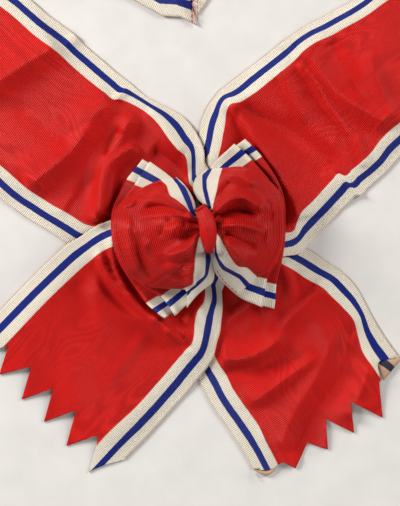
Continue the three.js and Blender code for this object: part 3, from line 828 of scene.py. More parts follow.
def bandRibbon(look):
    route = bandRoute(look)
    press = cloth["press"]
    nearEnd, straight = 162, 200.0  # the gathers end before the plain stretch starts
    stations = [(at, 0.0, 0.0) for at in np.arange(-cloth["tuck"], nearEnd, cloth["rowStep"])]
    stations += [(at, 0.0, 0.0) for at in np.arange(nearEnd + 4, straight, 6.0)]
    for k, fold in enumerate(route["folds"]):
        slant = fold["slant"] * route["frames"][k]["turn"]
        last = route["folds"][0]
        start = straight if k == 0 else last["at"] + math.pi * press / last["sine"]
        before = 0.0 if k == 0 else last["slant"] * route["frames"][0]["turn"]
        count = 16
        for step in range(1 if k else 0, count):
            share = step / count
            stations.append((start + (fold["at"] - start) * share, before + (slant - before) * share, 0.0))
        for step in range(11):
            stations.append((fold["at"] + step / 10 * math.pi * press / fold["sine"], slant, 0.0))
    lastFold = route["folds"][1]
    seamAngle = math.radians((leftBandPiece["seamTurn"] + rightBandPiece["seamTurn"]) / 2)
    seamSlant = 1 / math.tan(seamAngle - route["frames"][2]["heading"] - route["bend"])
    start = lastFold["at"] + math.pi * press / lastFold["sine"]
    startSlant = lastFold["slant"] * route["frames"][1]["turn"]
    for step in range(1, 41):
        share = step / 40
        level = float(ease(0.3, 0.85, share)) * (look["seamLevel"] - 4 * press)
        at = start + (route["end"] + look["lap"] - start) * share
        stations.append((at, startSlant + (seamSlant - startSlant) * share, level))
    columns = cloth["columns"]
    across = np.linspace(0, 100, columns + 1)
    grid = np.empty((len(stations), columns + 1, 3))
    alongGrid = np.empty((len(stations), columns + 1))
    for r, (at, slant, level) in enumerate(stations):
        flatSide = sideAt(look, np.full(columns + 1, float(at)), across)
        pleat = pleatHeights(look["fan"], np.full(columns + 1, float(at)), across)
        side = flatSide if at <= straight else 50 - across
        for c in range(columns + 1):
            along = at + slant * flatSide[c]
            grid[r, c] = layPoint(route, along, side[c], pleat[c] + level)
            alongGrid[r, c] = along
    near = ease(175, 150, np.array([station[0] for station in stations]))[:, None]
    loft = foldHeights(look["folds"], grid[..., 0], grid[..., 1]) + slack(across[None], alongGrid, 185)
    grid[..., 2] += near * loft
    first = sum(1 for station in stations if station[0] < straight)
    grid[:first, :, 2] = np.maximum(grid[:first, :, 2], 0)
    # the selvedge by the seam isn't quite straight
    ripple = np.array(seam["ripple"])
    near = ease(152, 118, grid[first:, :, 1]) * ease(-48, -36, grid[first:, :, 0])
    grid[first:, :, 1] += near * np.interp(grid[first:, :, 0], ripple[:, 0], ripple[:, 1])
    return grid, np.repeat(across[None], len(stations), axis=0), alongGrid, first, route


def layLength(name, grid, across, along, nearRows, length):
    near = underCamera(settle(grid[:nearRows], cloth["wall"]))
    grid = grid.copy()
    grid[:nearRows] = near
    if nearRows < len(grid):
        grid[nearRows:, :, 2] += cloth["wall"] / 2
    laid.add(near, cloth["wall"])
    piece = thicken(ribbonMesh(name + "_cloth", grid, across, along), cloth["wall"])
    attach(piece, "root")
    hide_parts(name)
    return piece


rightTail = layLength("right_tail", *tailRibbon(rightTailPiece), 139.5)
grid, across, along, nearRows, route = bandRibbon(rightBandPiece)
rightBand = layLength("right_band", grid, across, along, nearRows, route["end"] + 5)
grid, across, along, nearRows, route = bandRibbon(leftBandPiece)
leftBand = layLength("left_band", grid, across, along, nearRows, route["end"] + leftBandPiece["lap"] + 5)
leftTail = layLength("left_tail", *tailRibbon(leftTailPiece), 136.5)
print("stage: four lengths laid, highest", round(float(laid.tops.max()), 1))

# The bow: three pinched loops. Guides run from the waist to the rim, one for each place across the ribbon;
# "across" is how far that place is from the upper selvedge, so the stripes run along the outer guides.
bow = {"rows": 56, "waistHalf": 10.5, "puff": 10.5, "loose": 1.6, "pleatHeight": 3.2}
backLoop = {
    "left": {
        "upper": [(-5.2, 8.2), (-12.9, 21.1), (-22.2, 29.4), (-32.2, 35.6)],
        "lower": [(0.5, -11.3), (0, -24.2), (-6.7, -36.1), (-20.9, -46.7)],
        "rim": [
            (-32.2, 35.6), (-36.3, 30.4), (-40.5, 25.1), (-44.3, 18), (-47.4, 11.3), (-48.5, 4.1),
            (-48.2, -4.1), (-45.9, -14.4), (-41.2, -23.2), (-35.6, -31.4), (-30.4, -38.7), (-26, -42.8),
            (-20.9, -46.7),
        ],
        "shares": (0.0, 0.074, 0.15, 0.26, 0.36, 0.44, 0.52, 0.6, 0.68, 0.76, 0.85, 0.926, 1.0),
    },
    "right": {
        "upper": [(-0.5, 12.4), (1, 24.7), (8.8, 37.1), (20.6, 46.1)],
        "lower": [(3.1, -13.4), (7.7, -25.8), (19.6, -36.9), (35.7, -41.8)],
        "rim": [
            (20.6, 46.1), (25.3, 41.5), (29.4, 36.9), (33, 32), (36.6, 26.3), (39.7, 19.6), (41.5, 11.3),
            (41.5, 1.5), (41, -8.8), (39.2, -19.1), (36.8, -29), (36.4, -35.3), (35.7, -41.8),
        ],
        "shares": (0.0, 0.074, 0.15, 0.26, 0.34, 0.42, 0.5, 0.58, 0.68, 0.76, 0.85, 0.926, 1.0),
    },
}
middleLoop = {
    "left": {
        "upper": [(-5.2, 7.7), (-10.8, 19.8), (-20.1, 28.4), (-28.4, 34.4)],
        "lower": [(0.5, -11.3), (1, -24.2), (-4.6, -34.5), (-15.5, -45.4)],
        "rim": [
            (-28.4, 34.4), (-32.5, 28.4), (-36.4, 22.4), (-40.2, 17.5), (-44.1, 11.3), (-46.9, 4.6),
            (-46.9, -3.6), (-44.3, -12.9), (-39.2, -22.2), (-32, -29.9), (-22.9, -35.3), (-19.1, -39.7),
            (-15.5, -45.4),
        ],
        "shares": (0.0, 0.074, 0.15, 0.26, 0.36, 0.44, 0.52, 0.6, 0.68, 0.76, 0.85, 0.926, 1.0),
    },
    "right": {
        "upper": [(-0.5, 12.4), (1, 24.2), (3.1, 32), (14.9, 43.6)],
        "lower": [(3.1, -13.4), (7.2, -25.5), (18, -35.6), (29.4, -41)],
        "rim": [
            (14.9, 43.6), (19.8, 39.7), (24.2, 35.3), (29.4, 29.4), (34.5, 23.2), (38.4, 17), (40.2, 10.3),
            (40.5, 1.5), (39.4, -7.7), (37.1, -17.5), (32, -26.3), (30.7, -33.2), (29.4, -41),
        ],
        "shares": (0.0, 0.074, 0.15, 0.26, 0.34, 0.42, 0.5, 0.58, 0.68, 0.76, 0.85, 0.926, 1.0),
    },
}
frontLoop = {
    "left": {
        "guides": [
            {
                "across": 0,
                "line": [(-4.6, 9.8), (-5.5, 13.4), (-7.1, 17), (-9.3, 20.5), (-12.2, 23.8), (-15, 26.1)],
            },
            {"across": 5.4, "line": [(-5, 7.2), (-7.4, 14.4), (-10.3, 20.9), (-12.9, 23.7), (-14.9, 25.8)]},
            {
                "across": 9.4,
                "line": [
                    (-5.4, 5.7), (-7, 7.1), (-10.3, 13.7), (-12.5, 18.8), (-14.9, 22.9), (-16.8, 25.4),
                ],
            },
            {
                "across": 15,
                "line": [
                    (-4.6, 5.2), (-10.3, 10.8), (-14.7, 14.4), (-18, 16.7), (-19.7, 20.4), (-21.1, 22.9),
                    (-22.9, 24.7),
                ],
            },
            {"across": 25, "line": [(-4.1, 4.1), (-11.9, 9.8), (-20.1, 14.4), (-27.3, 19.1), (-33, 20.4)]},
            {
                "across": 35,
                "line": [(-3.9, 3.1), (-13.9, 7.7), (-25.8, 12.9), (-36.1, 15.5), (-43.6, 12.9)],
            },
            {"across": 46, "line": [(-3.6, 1.5), (-14.9, 3.6), (-28.4, 6.2), (-39.7, 6.7), (-47.7, 3.6)]},
            {
                "across": 58,
                "line": [(-3.4, -0.5), (-14.4, -2.6), (-27.3, -5.7), (-38.7, -7.7), (-46.4, -9.3)],
            },
            {
                "across": 70,
                "line": [(-3.1, -2.6), (-12.9, -9.3), (-23.2, -14.9), (-32.5, -20.1), (-40.7, -22.2)],
            },
            {
                "across": 78,
                "line": [(-2.8, -3.6), (-8.8, -12.4), (-14.9, -19.6), (-22.7, -25.3), (-29.9, -30.2)],
            },
            {
                "across": 85,
                "line": [
                    (-2.6, -4.1), (-4.4, -9.3), (-5.2, -15.8), (-5.9, -23.2), (-7.4, -28.9), (-11.9, -31.4),
                ],
            },
            {
                "across": 90.6,
                "line": [
                    (-0.8, -9.3), (0, -13.6), (0, -20.1), (-0.7, -24.6), (-3.7, -27.2), (-7.4, -31.1),
                    (-9.5, -32.8),
                ],
            },
            {
                "across": 94.6,
                "line": [
                    (1.3, -10.3), (2.8, -14.9), (2.1, -20.1), (1, -24.6), (-2.2, -28.3), (-7.4, -33.2),
                    (-9, -35.1),
                ],
            },
            {
                "across": 100,
                "line": [
                    (1.3, -11.3), (3.1, -15.8), (4.4, -20.1), (4.8, -24.6), (3.6, -28.4), (-0.7, -31.7),
                    (-4.4, -35.1), (-9.3, -41.2),
                ],
            },
        ],
    },
    "right": {
        "guides": [
            {
                "across": 0,
                "line": [
                    (-0.5, 11.9), (-3.7, 15.2), (-5.9, 18.9), (-5.9, 22.5), (-4.4, 26.3), (-0.7, 29.2),
                    (1.5, 30.6),
                ],
            },
            {
                "across": 5.4,
                "line": [(2.1, 10.3), (0.9, 12.9), (-0.7, 18.9), (-1.2, 23.2), (-0.7, 27.7), (1.9, 30.4)],
            },
            {
                "across": 9.4,
                "line": [(3.4, 10.6), (3.1, 12.2), (1.9, 17.4), (1, 21.8), (1.3, 25.5), (3.8, 30.8)],
            },
            {"across": 15, "line": [(3.6, 8.8), (4.8, 14.4), (6.2, 19.6), (7.4, 25.5), (9, 30.9)]},
            {"across": 25, "line": [(4.1, 7.5), (7.2, 14.4), (12.4, 22.2), (16.5, 28.4), (19.6, 31.5)]},
            {"across": 35, "line": [(4.4, 6.2), (11.9, 12.9), (20.1, 19.6), (26.3, 24.7), (29.9, 27.3)]},
            {"across": 46, "line": [(4.6, 4.1), (14.4, 7.2), (24.7, 11.3), (33.5, 14.9), (39.4, 17)]},
            {"across": 58, "line": [(4.9, 2.1), (16, 2.1), (27.3, 2.1), (35.6, 2.6), (40.7, 3.6)]},
            {"across": 70, "line": [(5.2, 0), (13.9, -3.6), (23.2, -7.7), (32.5, -10.8), (39.2, -11.9)]},
            {"across": 78, "line": [(5.4, -1.5), (11.9, -7.2), (19.6, -13.9), (27.3, -19.1), (33, -22.2)]},
            {
                "across": 85,
                "line": [
                    (5.7, -2.6), (9.6, -7.7), (13.2, -14.9), (17, -19.4), (22.2, -20.9), (27.1, -25.3),
                ],
            },
            {
                "across": 90.6,
                "line": [
                    (5.7, -6.2), (6.6, -13.6), (10.3, -19.4), (14.7, -22), (19.1, -24.7), (23.5, -28.9),
                ],
            },
            {
                "across": 94.6,
                "line": [
                    (4.9, -8.8), (5.5, -14.3), (8.8, -20.9), (13.2, -23.5), (17.7, -26.4), (21.1, -30.4),
                ],
            },
            {"across": 100, "line": [(3.1, -12.9), (4.8, -21.7), (7.4, -26.1), (11.8, -30.4), (17, -34.8)]},
        ],
    },
}
cheekRise = [
    {"out": 0.0, "rise": 0.0},
    {"out": 0.15, "rise": 0.42},
    {"out": 0.35, "rise": 0.85},
    {"out": 0.6, "rise": 1.0},
    {"out": 0.8, "rise": 0.86},
    {"out": 0.93, "rise": 0.62},
    {"out": 1.0, "rise": 0.42},
]
# Creases of the front loop's cheeks, running out from the waist
cheekFolds = [
    {
        "line": [(-6.7, 6.2), (-12.9, 9.3), (-20.6, 11.3), (-28.4, 10.8), (-35.6, 8.2)],
        "height": -4.9, "left": 6.8, "right": 5.4, "crisp": True, "fade": (0.15, 0.3),
    },
    {
        "line": [(-4.6, 3.6), (-10.8, 5.9), (-20.1, 7), (-29.4, 6.2), (-36.6, 4.6)],
        "height": 2.4, "left": 3.2, "right": 4.1, "crisp": True, "fade": (0.1, 0.3),
    },
    {
        "line": [(-9.8, 3.6), (-12.4, -0.5), (-13.4, -6.7)],
        "height": -2.0, "left": 3.5, "right": 3.2, "crisp": True, "fade": (0.2, 0.3),
    },
    {
        "line": [(-12.4, 4.6), (-15.5, 0), (-17.5, -6.2)],
        "height": 1.4, "left": 3.5, "right": 3.2, "crisp": True, "fade": (0.2, 0.3),
    },
    {
        "line": [(-17, 5.2), (-21.7, 0), (-23.2, -6.2)],
        "height": -2.4, "left": 4.6, "right": 4.1, "crisp": True, "fade": (0.2, 0.3),
    },
    {
        "line": [(-3.1, -1.5), (-4.6, -5.2), (-7.7, -9.8), (-12.4, -12.4), (-17, -13.4), (-21.7, -11.9)],
        "height": 3.8, "left": 4.3, "right": 4.3, "crisp": True, "fade": (0.05, 0.3),
    },
    {
        "line": [(-8.2, -14.4), (-12.9, -17.5), (-19.1, -17.5), (-25.3, -15.5)],
        "height": -2.4, "left": 4.6, "right": 4.6, "crisp": True, "fade": (0.2, 0.3),
    },
    {
        "line": [(-28.4, -5.2), (-31.4, -11.3), (-28.4, -18.6), (-22.2, -20.6)],
        "height": 1.9, "left": 4.7, "right": 5.4, "crisp": True, "fade": (0.2, 0.3),
    },
    {
        "line": [(-9.8, -17.5), (-12.9, -22.7), (-18, -24.7)],
        "height": -2.4, "left": 5.4, "right": 6.8, "crisp": True, "fade": (0.2, 0.3),
    },
    {
        "line": [(-6.2, -17.5), (-6.7, -23.7), (-8.8, -28.4), (-12.9, -29.4), (-17, -27.3), (-19.1, -23.7)],
        "height": 2.0, "left": 3.5, "right": 3.2, "crisp": True, "fade": (0.1, 0.2),
    },
    {
        "line": [(-37.6, -2.1), (-36.6, -12.4), (-32.5, -21.7), (-27.3, -28.9)],
        "height": -1.5, "left": 3.5, "right": 3.5, "crisp": True, "fade": (0.2, 0.2),
    },
    {
        "line": [(-40.7, 6.7), (-41.8, -2.1), (-40.2, -12.4), (-35.6, -22.7)],
        "height": 2.4, "left": 3, "right": 3, "fade": (0.2, 0.2),
    },
    {
        "line": [(-44.3, 9.8), (-39.7, 11.9), (-38.1, 14.9)],
        "height": 2.0, "left": 1.4, "right": 1.6, "fade": (0.2, 0.2),
    },
    {
        "line": [(5.7, 7.7), (10.8, 13.4), (16, 15.7), (21.1, 15.5), (27.3, 11.9), (32.5, 8.8)],
        "height": 5.9, "left": 5.4, "right": 3.5, "crisp": True, "fade": (0.05, 0.2),
    },
    {
        "line": [(6.2, 11.9), (8.8, 18.6), (12.9, 23.7), (16, 26.8)],
        "height": -3.6, "left": 4.6, "right": 6.1, "crisp": True, "fade": (0.1, 0.3),
    },
    {
        "line": [(10.8, 25.8), (16, 28.4), (22.2, 26.8), (29.4, 21.7)],
        "height": 2.7, "left": 5.4, "right": 6.8, "crisp": True, "fade": (0.2, 0.3),
    },
    {
        "line": [(6.2, 5.2), (13.9, 8.2), (21.1, 8.2), (29.4, 5.7)],
        "height": -6.0, "left": 4.6, "right": 5.4, "crisp": True, "fade": (0.1, 0.3),
    },
    {
        "line": [(5.2, 0.5), (10.8, 1.3), (17, 1.5), (23.2, 0.5), (29.9, -1.5), (33.5, -5.2)],
        "height": 5.3, "left": 3.5, "right": 5.4, "crisp": True, "fade": (0.05, 0.3),
    },
    {
        "line": [(33.5, 3.1), (34, -3.1), (32.5, -10.3)],
        "height": 2.6, "left": 4.3, "right": 4.1, "crisp": True, "fade": (0.2, 0.3),
    },
    {
        "line": [(8.8, -2.6), (16, -5.2), (24.2, -9.3), (29.4, -14.4)],
        "height": -4.2, "left": 4.6, "right": 5.4, "crisp": True, "fade": (0.1, 0.3),
    },
    {
        "line": [(8.8, -4.6), (12.9, -9.3), (17, -14.4), (22.2, -17.5)],
        "height": 4.2, "left": 4.1, "right": 4.1, "crisp": True, "fade": (0.1, 0.2),
    },
    {
        "line": [(34.5, 16.5), (36.6, 9.3), (35.6, 1)],
        "height": -1.3, "left": 2.6, "right": 2.6, "fade": (0.2, 0.3),
    },
]


def cornerGuides(lobe):
    rim = np.array(lobe["rim"], float)
    upper, lower = lobe["upper"], lobe["lower"]
    guides = []
    shares = np.array(lobe["shares"])
    u = np.linspace(0, 1, 9)
    top, bottom = alongLine(upper, u), alongLine(lower, u)
    for share, end in zip(shares, rim):
        across = share * 100
        start = (1 - share) * np.array(top[0]) + share * np.array(bottom[0])
        line = start + (end - start) * u[:, None]
        bowed = (1 - share) ** 3 * (top - (top[0] + (top[-1] - top[0]) * u[:, None])) + share**3 * (
            bottom - (bottom[0] + (bottom[-1] - bottom[0]) * u[:, None])
        )
        guides.append({"across": across, "line": line + bowed})
    return guides


def lobeSheet(guides, side, rows, columns):
    u = np.linspace(0, 1, rows)
    across = np.linspace(0, 100, columns)
    lines = []
    for guide in guides:
        share = guide["across"] / 100
        start = (side * 0.9 - 0.2 * (0.5 - share) * 21, (0.5 - share) * 2 * bow["waistHalf"])
        points = [start, *[tuple(p) for p in guide["line"]]]
        lines.append(alongLine(points, u))
    lines = np.array(lines)  # guides, rows, xy
    known = [guide["across"] for guide in guides]
    sheet = np.empty((rows, columns, 2))
    for r in range(rows):
        for axis in range(2):
            sheet[r, :, axis] = throughPoints(known, lines[:, r, axis], across)
    return sheet, across, u


def bowLoop(name, look, opening, columns, pleatCount, folds=()):
    halves = []
    for side, key in ((1, "right"), (-1, "left")):
        guides = look[key].get("guides") or cornerGuides(look[key])
        sheet, across, u = lobeSheet(guides, side, bow["rows"], columns)
        pleats = 0.5 - 0.5 * np.cos(2 * math.pi * pleatCount * np.clip((across - 14) / 72, 0, 1) ** 1.1)
        pleats = bow["pleatHeight"] * (1 - ease(0.2, 0.9, u))[:, None] * pleats[None]
        under = settle(np.concatenate([sheet, pleats[..., None]], axis=-1), cloth["wall"], 60)
        over = under.copy()
        over[..., 2] += opening(u[:, None], across[None] / 100)
        if folds:
            room = ease(0.02, 0.2, u)[:, None] * (1 - 0.6 * ease(0.86, 1, u))[:, None]
            crease = foldHeights(folds, over[..., 0], over[..., 1]) * room
            over[..., 2] = np.maximum(over[..., 2] + crease, under[..., 2] + cloth["wall"] + cloth["gap"])
        turns = []
        radius = (over[-1, :, 2] - under[-1, :, 2]) / 2
        heads = np.concatenate([
            sheet[3:] - sheet[:-3], np.repeat((sheet[-1] - sheet[-4])[None], 3, axis=0),
        ])
        heads /= np.maximum(np.hypot(heads[..., 0], heads[..., 1]), 1e-6)[..., None]
        outward = heads[-1]
        pull = (ease(0.6, 1, u)[:, None] * radius[None])[..., None]
        for half in (under, over):  # the rim's curl stands inside the outline
            half[..., :2] -= heads * pull
        for step in range(1, 8):
            angle = step / 8 * math.pi
            turns.append(np.concatenate([
                over[-1, :, :2] + outward * (radius * math.sin(angle))[:, None],
                ((over[-1, :, 2] + under[-1, :, 2]) / 2 + radius * math.cos(angle))[:, None],
            ], axis=-1))
        halves.append((under, over, turns))
    (rightUnder, rightOver, rightTurn), (leftUnder, leftOver, leftTurn) = halves
    grid = np.concatenate([
        rightUnder, np.array(rightTurn[::-1]), rightOver[::-1], leftOver, np.array(leftTurn), leftUnder[::-1],
    ])
    grid = underCamera(grid)
    steps = np.linalg.norm(np.diff(grid, axis=0), axis=-1).mean(axis=1)
    along = np.concatenate([[0], np.cumsum(steps)])
    laid.add(grid, cloth["wall"])
    # the rows run leftwards over the top, so the columns are turned to keep the woven face outside
    across = np.linspace(0, 100, columns)
    acrossGrid = np.repeat(across[None], len(grid), axis=0)
    alongGrid = np.repeat(along[:, None], columns, axis=1)
    piece = thicken(
        ribbonMesh(name + "_cloth", grid[:, ::-1], acrossGrid[:, ::-1], alongGrid), cloth["wall"],
    )
    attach(piece, "root")
    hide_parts(name)
    return piece


def pressedOpening(out, share):
    step = cloth["wall"] + cloth["gap"]
    return step + bow["loose"] * np.sin(math.pi * np.minimum(out, 0.75)) * np.ones_like(share)


def puffedOpening(out, share):
    step = cloth["wall"] + cloth["gap"]
    cheek = 1 - np.abs(2 * share - 1) ** 4
    return step + columnAt(cheekRise, "out", "rise", out) * bow["puff"] * (0.22 + 0.78 * cheek)


roundWaist = np.array([(0.0, 0.0), (3, 0), (-3, 0), (0, 8), (0, -8)])  # where the strap's hidden side lies
strapUnder = float(laid.topAt(roundWaist[:, 0], roundWaist[:, 1]).max()) + cloth["gap"]
bowBack = bowLoop("bow_back", backLoop, pressedOpening, 61, 6)
bowMiddle = bowLoop("bow_middle", middleLoop, pressedOpening, 61, 6)
bowFront = bowLoop("bow_front", frontLoop, puffedOpening, 121, 3, cheekFolds)
print("stage: bow tied, highest", round(float(laid.tops.max()), 1))

# The knot: a folded red strap that leans across the waist, wide in the middle and narrow at both ends
knotLook = {
    "left": [(-4.5, 8), (-3.6, 5.2), (-2.8, 1.5), (-2.3, -3.6), (-1, -7.7), (0.4, -11.3)],
    "right": [(0, 10.8), (2.7, 8.5), (4.6, 4.6), (5.7, -1.5), (5.3, -7.2), (4.1, -11.3)],
    "rise": 2.0,
    "rows": 30,
    "columns": 15,
}


def knotStrap(look):
    rows, columns = look["rows"], look["columns"]
    v = np.linspace(0, 1, rows)
    left, right = alongLine(look["left"], v), alongLine(look["right"], v)
    across = np.linspace(0, 1, columns)
    face = left[:, None] * (1 - across[None, :, None]) + right[:, None] * across[None, :, None]
    top = laid.topAt(face[..., 0], face[..., 1])
    crown = np.sin(math.pi * np.clip(v, 0.02, 0.98)) ** 0.5
    level = float(top[rows // 4: 3 * rows // 4].max()) + cloth["gap"] + 0.6
    arch = np.sqrt(1 - 0.97 * (2 * across[None] - 1) ** 2)
    height = level - look["rise"] - 2.2 * (1 - crown)[:, None]
    height = height + look["rise"] * 1.6 * arch * (0.4 + 0.6 * crown[:, None])
    height = height + 0.12 * np.sin(across[None] * 5 * math.pi + v[:, None] * 2)
    face = np.concatenate([face, height[..., None]], axis=-1)
    low = strapUnder + 0.6
    ends = []
    for row, direction in ((face[0], 1), (face[-1], -1)):
        bend = []
        for step in range(1, 7):
            share = step / 6
            out = row.copy()
            out[:, 1] += direction * 1.6 * math.sin(math.pi * share)
            out[:, 2] = row[:, 2] + (low - row[:, 2]) * share
            bend.append(out)
        ends.append(bend)
    under = []
    for share in np.linspace(0, 1, 8)[1:-1]:
        row = ends[1][-1] * (1 - share) + ends[0][-1] * share
        under.append(row)
    grid = underCamera(np.concatenate([face, np.array(ends[1]), np.array(under), np.array(ends[0][::-1])]))
    steps = np.linalg.norm(np.diff(grid, axis=0), axis=-1).mean(axis=1)
    along = np.concatenate([[0], np.cumsum(steps)])
    acrossGrid = np.repeat((8 * across)[None], len(grid), axis=0)
    alongGrid = np.repeat(50 + 0.3 * along[:, None], columns, axis=1)
    # rows run down the picture, so the columns are turned to keep the outside up; the ribs run lengthwise
    piece = thicken(ribbonMesh("knot_cloth", grid[:, ::-1], alongGrid, acrossGrid), 1.0)
    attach(piece, "root")
    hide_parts("knot")
    return piece


knot = knotStrap(knotLook)
print("stage: knot on the waist")


# Small parts: curled cut corners, sewing thread and frayed ends
def liftAt(x, y, above):
    return float(laid.topAt(np.array([x]), np.array([y]))[0]) + above


curls = {
    "curl_right": {
        "fold": [(88.6, -69.6), (91.8, -68.7), (95.4, -68), (100.8, -67.1)],
        "cut": [(92.3, -78.9), (94.9, -76), (97.9, -72.2), (101, -68.8)],
        "edges": ((9.4, 0.7), (16.3, 0.5)),
        "lift": 1.5,
    },
    "curl_left": {
        "fold": [(25.3, -125), (28.9, -125.7), (32.5, -125.8), (36.6, -124)],
        "cut": [(26.8, -126), (29.9, -127.6), (33, -127.8), (35.6, -125.8)],
        "edges": ((5, 1), (5, 1)),
        "lift": 0.9,
    },
}


# A cut corner that rolls over and shows the ribbon's back side, coloured as the cream and blue stripes in
# painted shade; "edges" says how far it is from the selvedge
def curledCorner(name, look):
    u, v = np.linspace(0, 1, 13), np.linspace(0, 1, 8)
    fold, cut = alongLine(look["fold"], u), alongLine(look["cut"], u)
    face = fold[:, None] * (1 - v[None, :, None]) + cut[:, None] * v[None, :, None]
    height = 0.8 + look["lift"] * np.sin(math.pi * (0.25 + 0.65 * v))[None] * np.ones((13, 1))
    (foldInner, foldOuter), (cutInner, cutOuter) = look["edges"]
    foldEdge = foldInner + (foldOuter - foldInner) * u[:, None]
    cutEdge = cutInner + (cutOuter - cutInner) * u[:, None]
    edge = foldEdge * (1 - v) + cutEdge * v
    grid = np.concatenate([face, height[..., None]], axis=-1)
    across, along = np.repeat(10 * v[None], 13, axis=0), np.repeat(12 * u[:, None], 8, axis=1)
    piece = thicken(ribbonMesh(name, grid[:, ::-1], across[:, ::-1], along, edge[:, ::-1]), 0.4)
    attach(piece, "root")
    return piece


# Thread: "level" is its height over the table and "above" over the cloth; without a space it hangs loose
threads = {
    "seam_stitches": {
        "lines": [
            [(-6.5, 105.9), (-6.5, 117.5), (-8.8, 138.2), (-18, 174.2), (-43.3, 228.4)],
            [(-3.9, 107.5), (-3.9, 117.5), (-6.2, 139.2), (-15.5, 175.3), (-40.2, 228.4)],
        ],
        "thick": 0.5,
        "stitch": 2.0,
        "space": 0.9,
        "level": 1.55,
        "finish": "seam thread",
        "colour": (0.55, 0.09, 0.06, 1),
    },
    "bow_stitches": {
        "lines": [[(5.9, -21.9), (8.2, -25.5), (12.4, -29.9), (17.5, -34)]],
        "thick": 0.4,
        "stitch": 1.4,
        "space": 0.9,
        "above": 0.1,
        "finish": "bow thread",
        "colour": (0.28, 0.02, 0.015, 1),
    },
    "frayed_ends": {
        "lines": [
            [(25, -125.8), (26.3, -128.4), (28.9, -130.7)],
            [(25.3, -125.3), (25.8, -128.9), (28.1, -130.8)],
            [(90.2, -79.9), (89.2, -81.2), (88.9, -82.5)],
        ],
        "thick": 0.22,
        "stitch": 1,
        "space": 0,
        "level": 1.05,
        "finish": "frayed thread",
        "colour": (0.75, 0.68, 0.56, 1),
    },
}


def sewnLine(name, look):
    curve = bpy.data.curves.new(name, "CURVE")
    curve.dimensions = "3D"
    curve.bevel_depth = look["thick"] / 2 * mm
    curve.bevel_resolution = 2
    stitch, space = look["stitch"], look["space"]
    for points in look["lines"]:
        total = float(np.hypot(*np.diff(np.array(points), axis=0).T).sum())
        count = max(int(total / (stitch + space)), 1) if space else 1
        for k in range(count):
            start = k * (stitch + space) / total if space else 0
            end = start + stitch / total if space else 1
            ends = alongLine(points, np.linspace(start, min(end, 1), 3 if space else 12))
            spline = curve.splines.new("POLY")
            spline.points.add(len(ends) - 1)
            for n, (x, y) in enumerate(ends):
                hump = 0.12 if 0 < n < len(ends) - 1 else 0
                z = look["level"] if "level" in look else liftAt(x, y, look["above"])
                spline.points[n].co = (waist[0] + x * mm, waist[1] + y * mm, (z + hump) * mm, 1)
    drawn = bpy.data.objects.new(name, curve)
    bpy.context.scene.collection.objects.link(drawn)
    mesh = bpy.data.meshes.new_from_object(drawn.evaluated_get(bpy.context.evaluated_depsgraph_get()))
    bpy.data.objects.remove(drawn)
    piece = bpy.data.objects.new(name, mesh)
    bpy.context.scene.collection.objects.link(piece)
    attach(piece, "root")
    return piece


curledCorners = [curledCorner(name, look) for name, look in curls.items()]
threadPieces = {name: sewnLine(name, look) for name, look in threads.items()}
print("stage: thread and curled corners added")

# Finishes
off, on = (0, 0, 0, 1), (1, 1, 1, 1)  # where a mask leaves a colour out and where it lets it in
finish = {
    "red": (0.52, 0.006, 0.005, 1),
    "redDeep": (0.24, 0.002, 0.002, 1),
    "redBright": (0.78, 0.02, 0.014, 1),
    "cream": (0.80, 0.76, 0.66, 1),
    "creamShade": (0.40, 0.33, 0.24, 1),
    "blue": (0.003, 0.009, 0.13, 1),
    "blueBright": (0.009, 0.026, 0.25, 1),
    "thread": (0.62, 0.30, 0.23, 1),
    "ribPitch": 0.92,
    "roughness": 0.5,
    "shine": 0.14,
    "ribShare": 0.4,
}


def shaderNode(tree, kind, at=(0, 0), inputs=None, **settings):
    made = tree.nodes.new(kind)
    made.location = at
    for key, value in settings.items():
        setattr(made, key, value)
    for key, value in (inputs or {}).items():
        if isinstance(value, bpy.types.NodeSocket):
            tree.links.new(value, made.inputs[key])
        else:
            made.inputs[key].default_value = value
    return made


def mathNode(tree, operation, first, second=0.0, at=(0, 0), third=None):
    inputs = {0: first, 1: second}
    if third is not None:
        inputs[2] = third
    return shaderNode(tree, "ShaderNodeMath", at, inputs, operation=operation).outputs[0]


def rampNode(tree, value, stops, at, smooth="LINEAR"):
    ramp = shaderNode(tree, "ShaderNodeValToRGB", at, {"Fac": value})
    ramp.color_ramp.interpolation = smooth
    elements = ramp.color_ramp.elements
    while len(elements) < len(stops):
        elements.new(0.5)
    for element, (position, colour) in zip(elements, stops):
        element.position = position
        element.color = colour
    return ramp.outputs["Color"]


def mixNode(tree, share, first, second, at, blend="MIX"):
    made = tree.nodes.new("ShaderNodeMix")
    made.data_type = "RGBA"
    made.blend_type = blend
    made.location = at
    for index, value in ((0, share), (6, first), (7, second)):
        if isinstance(value, bpy.types.NodeSocket):
            tree.links.new(value, made.inputs[index])
        else:
            made.inputs[index].default_value = value
    return made.outputs[2]


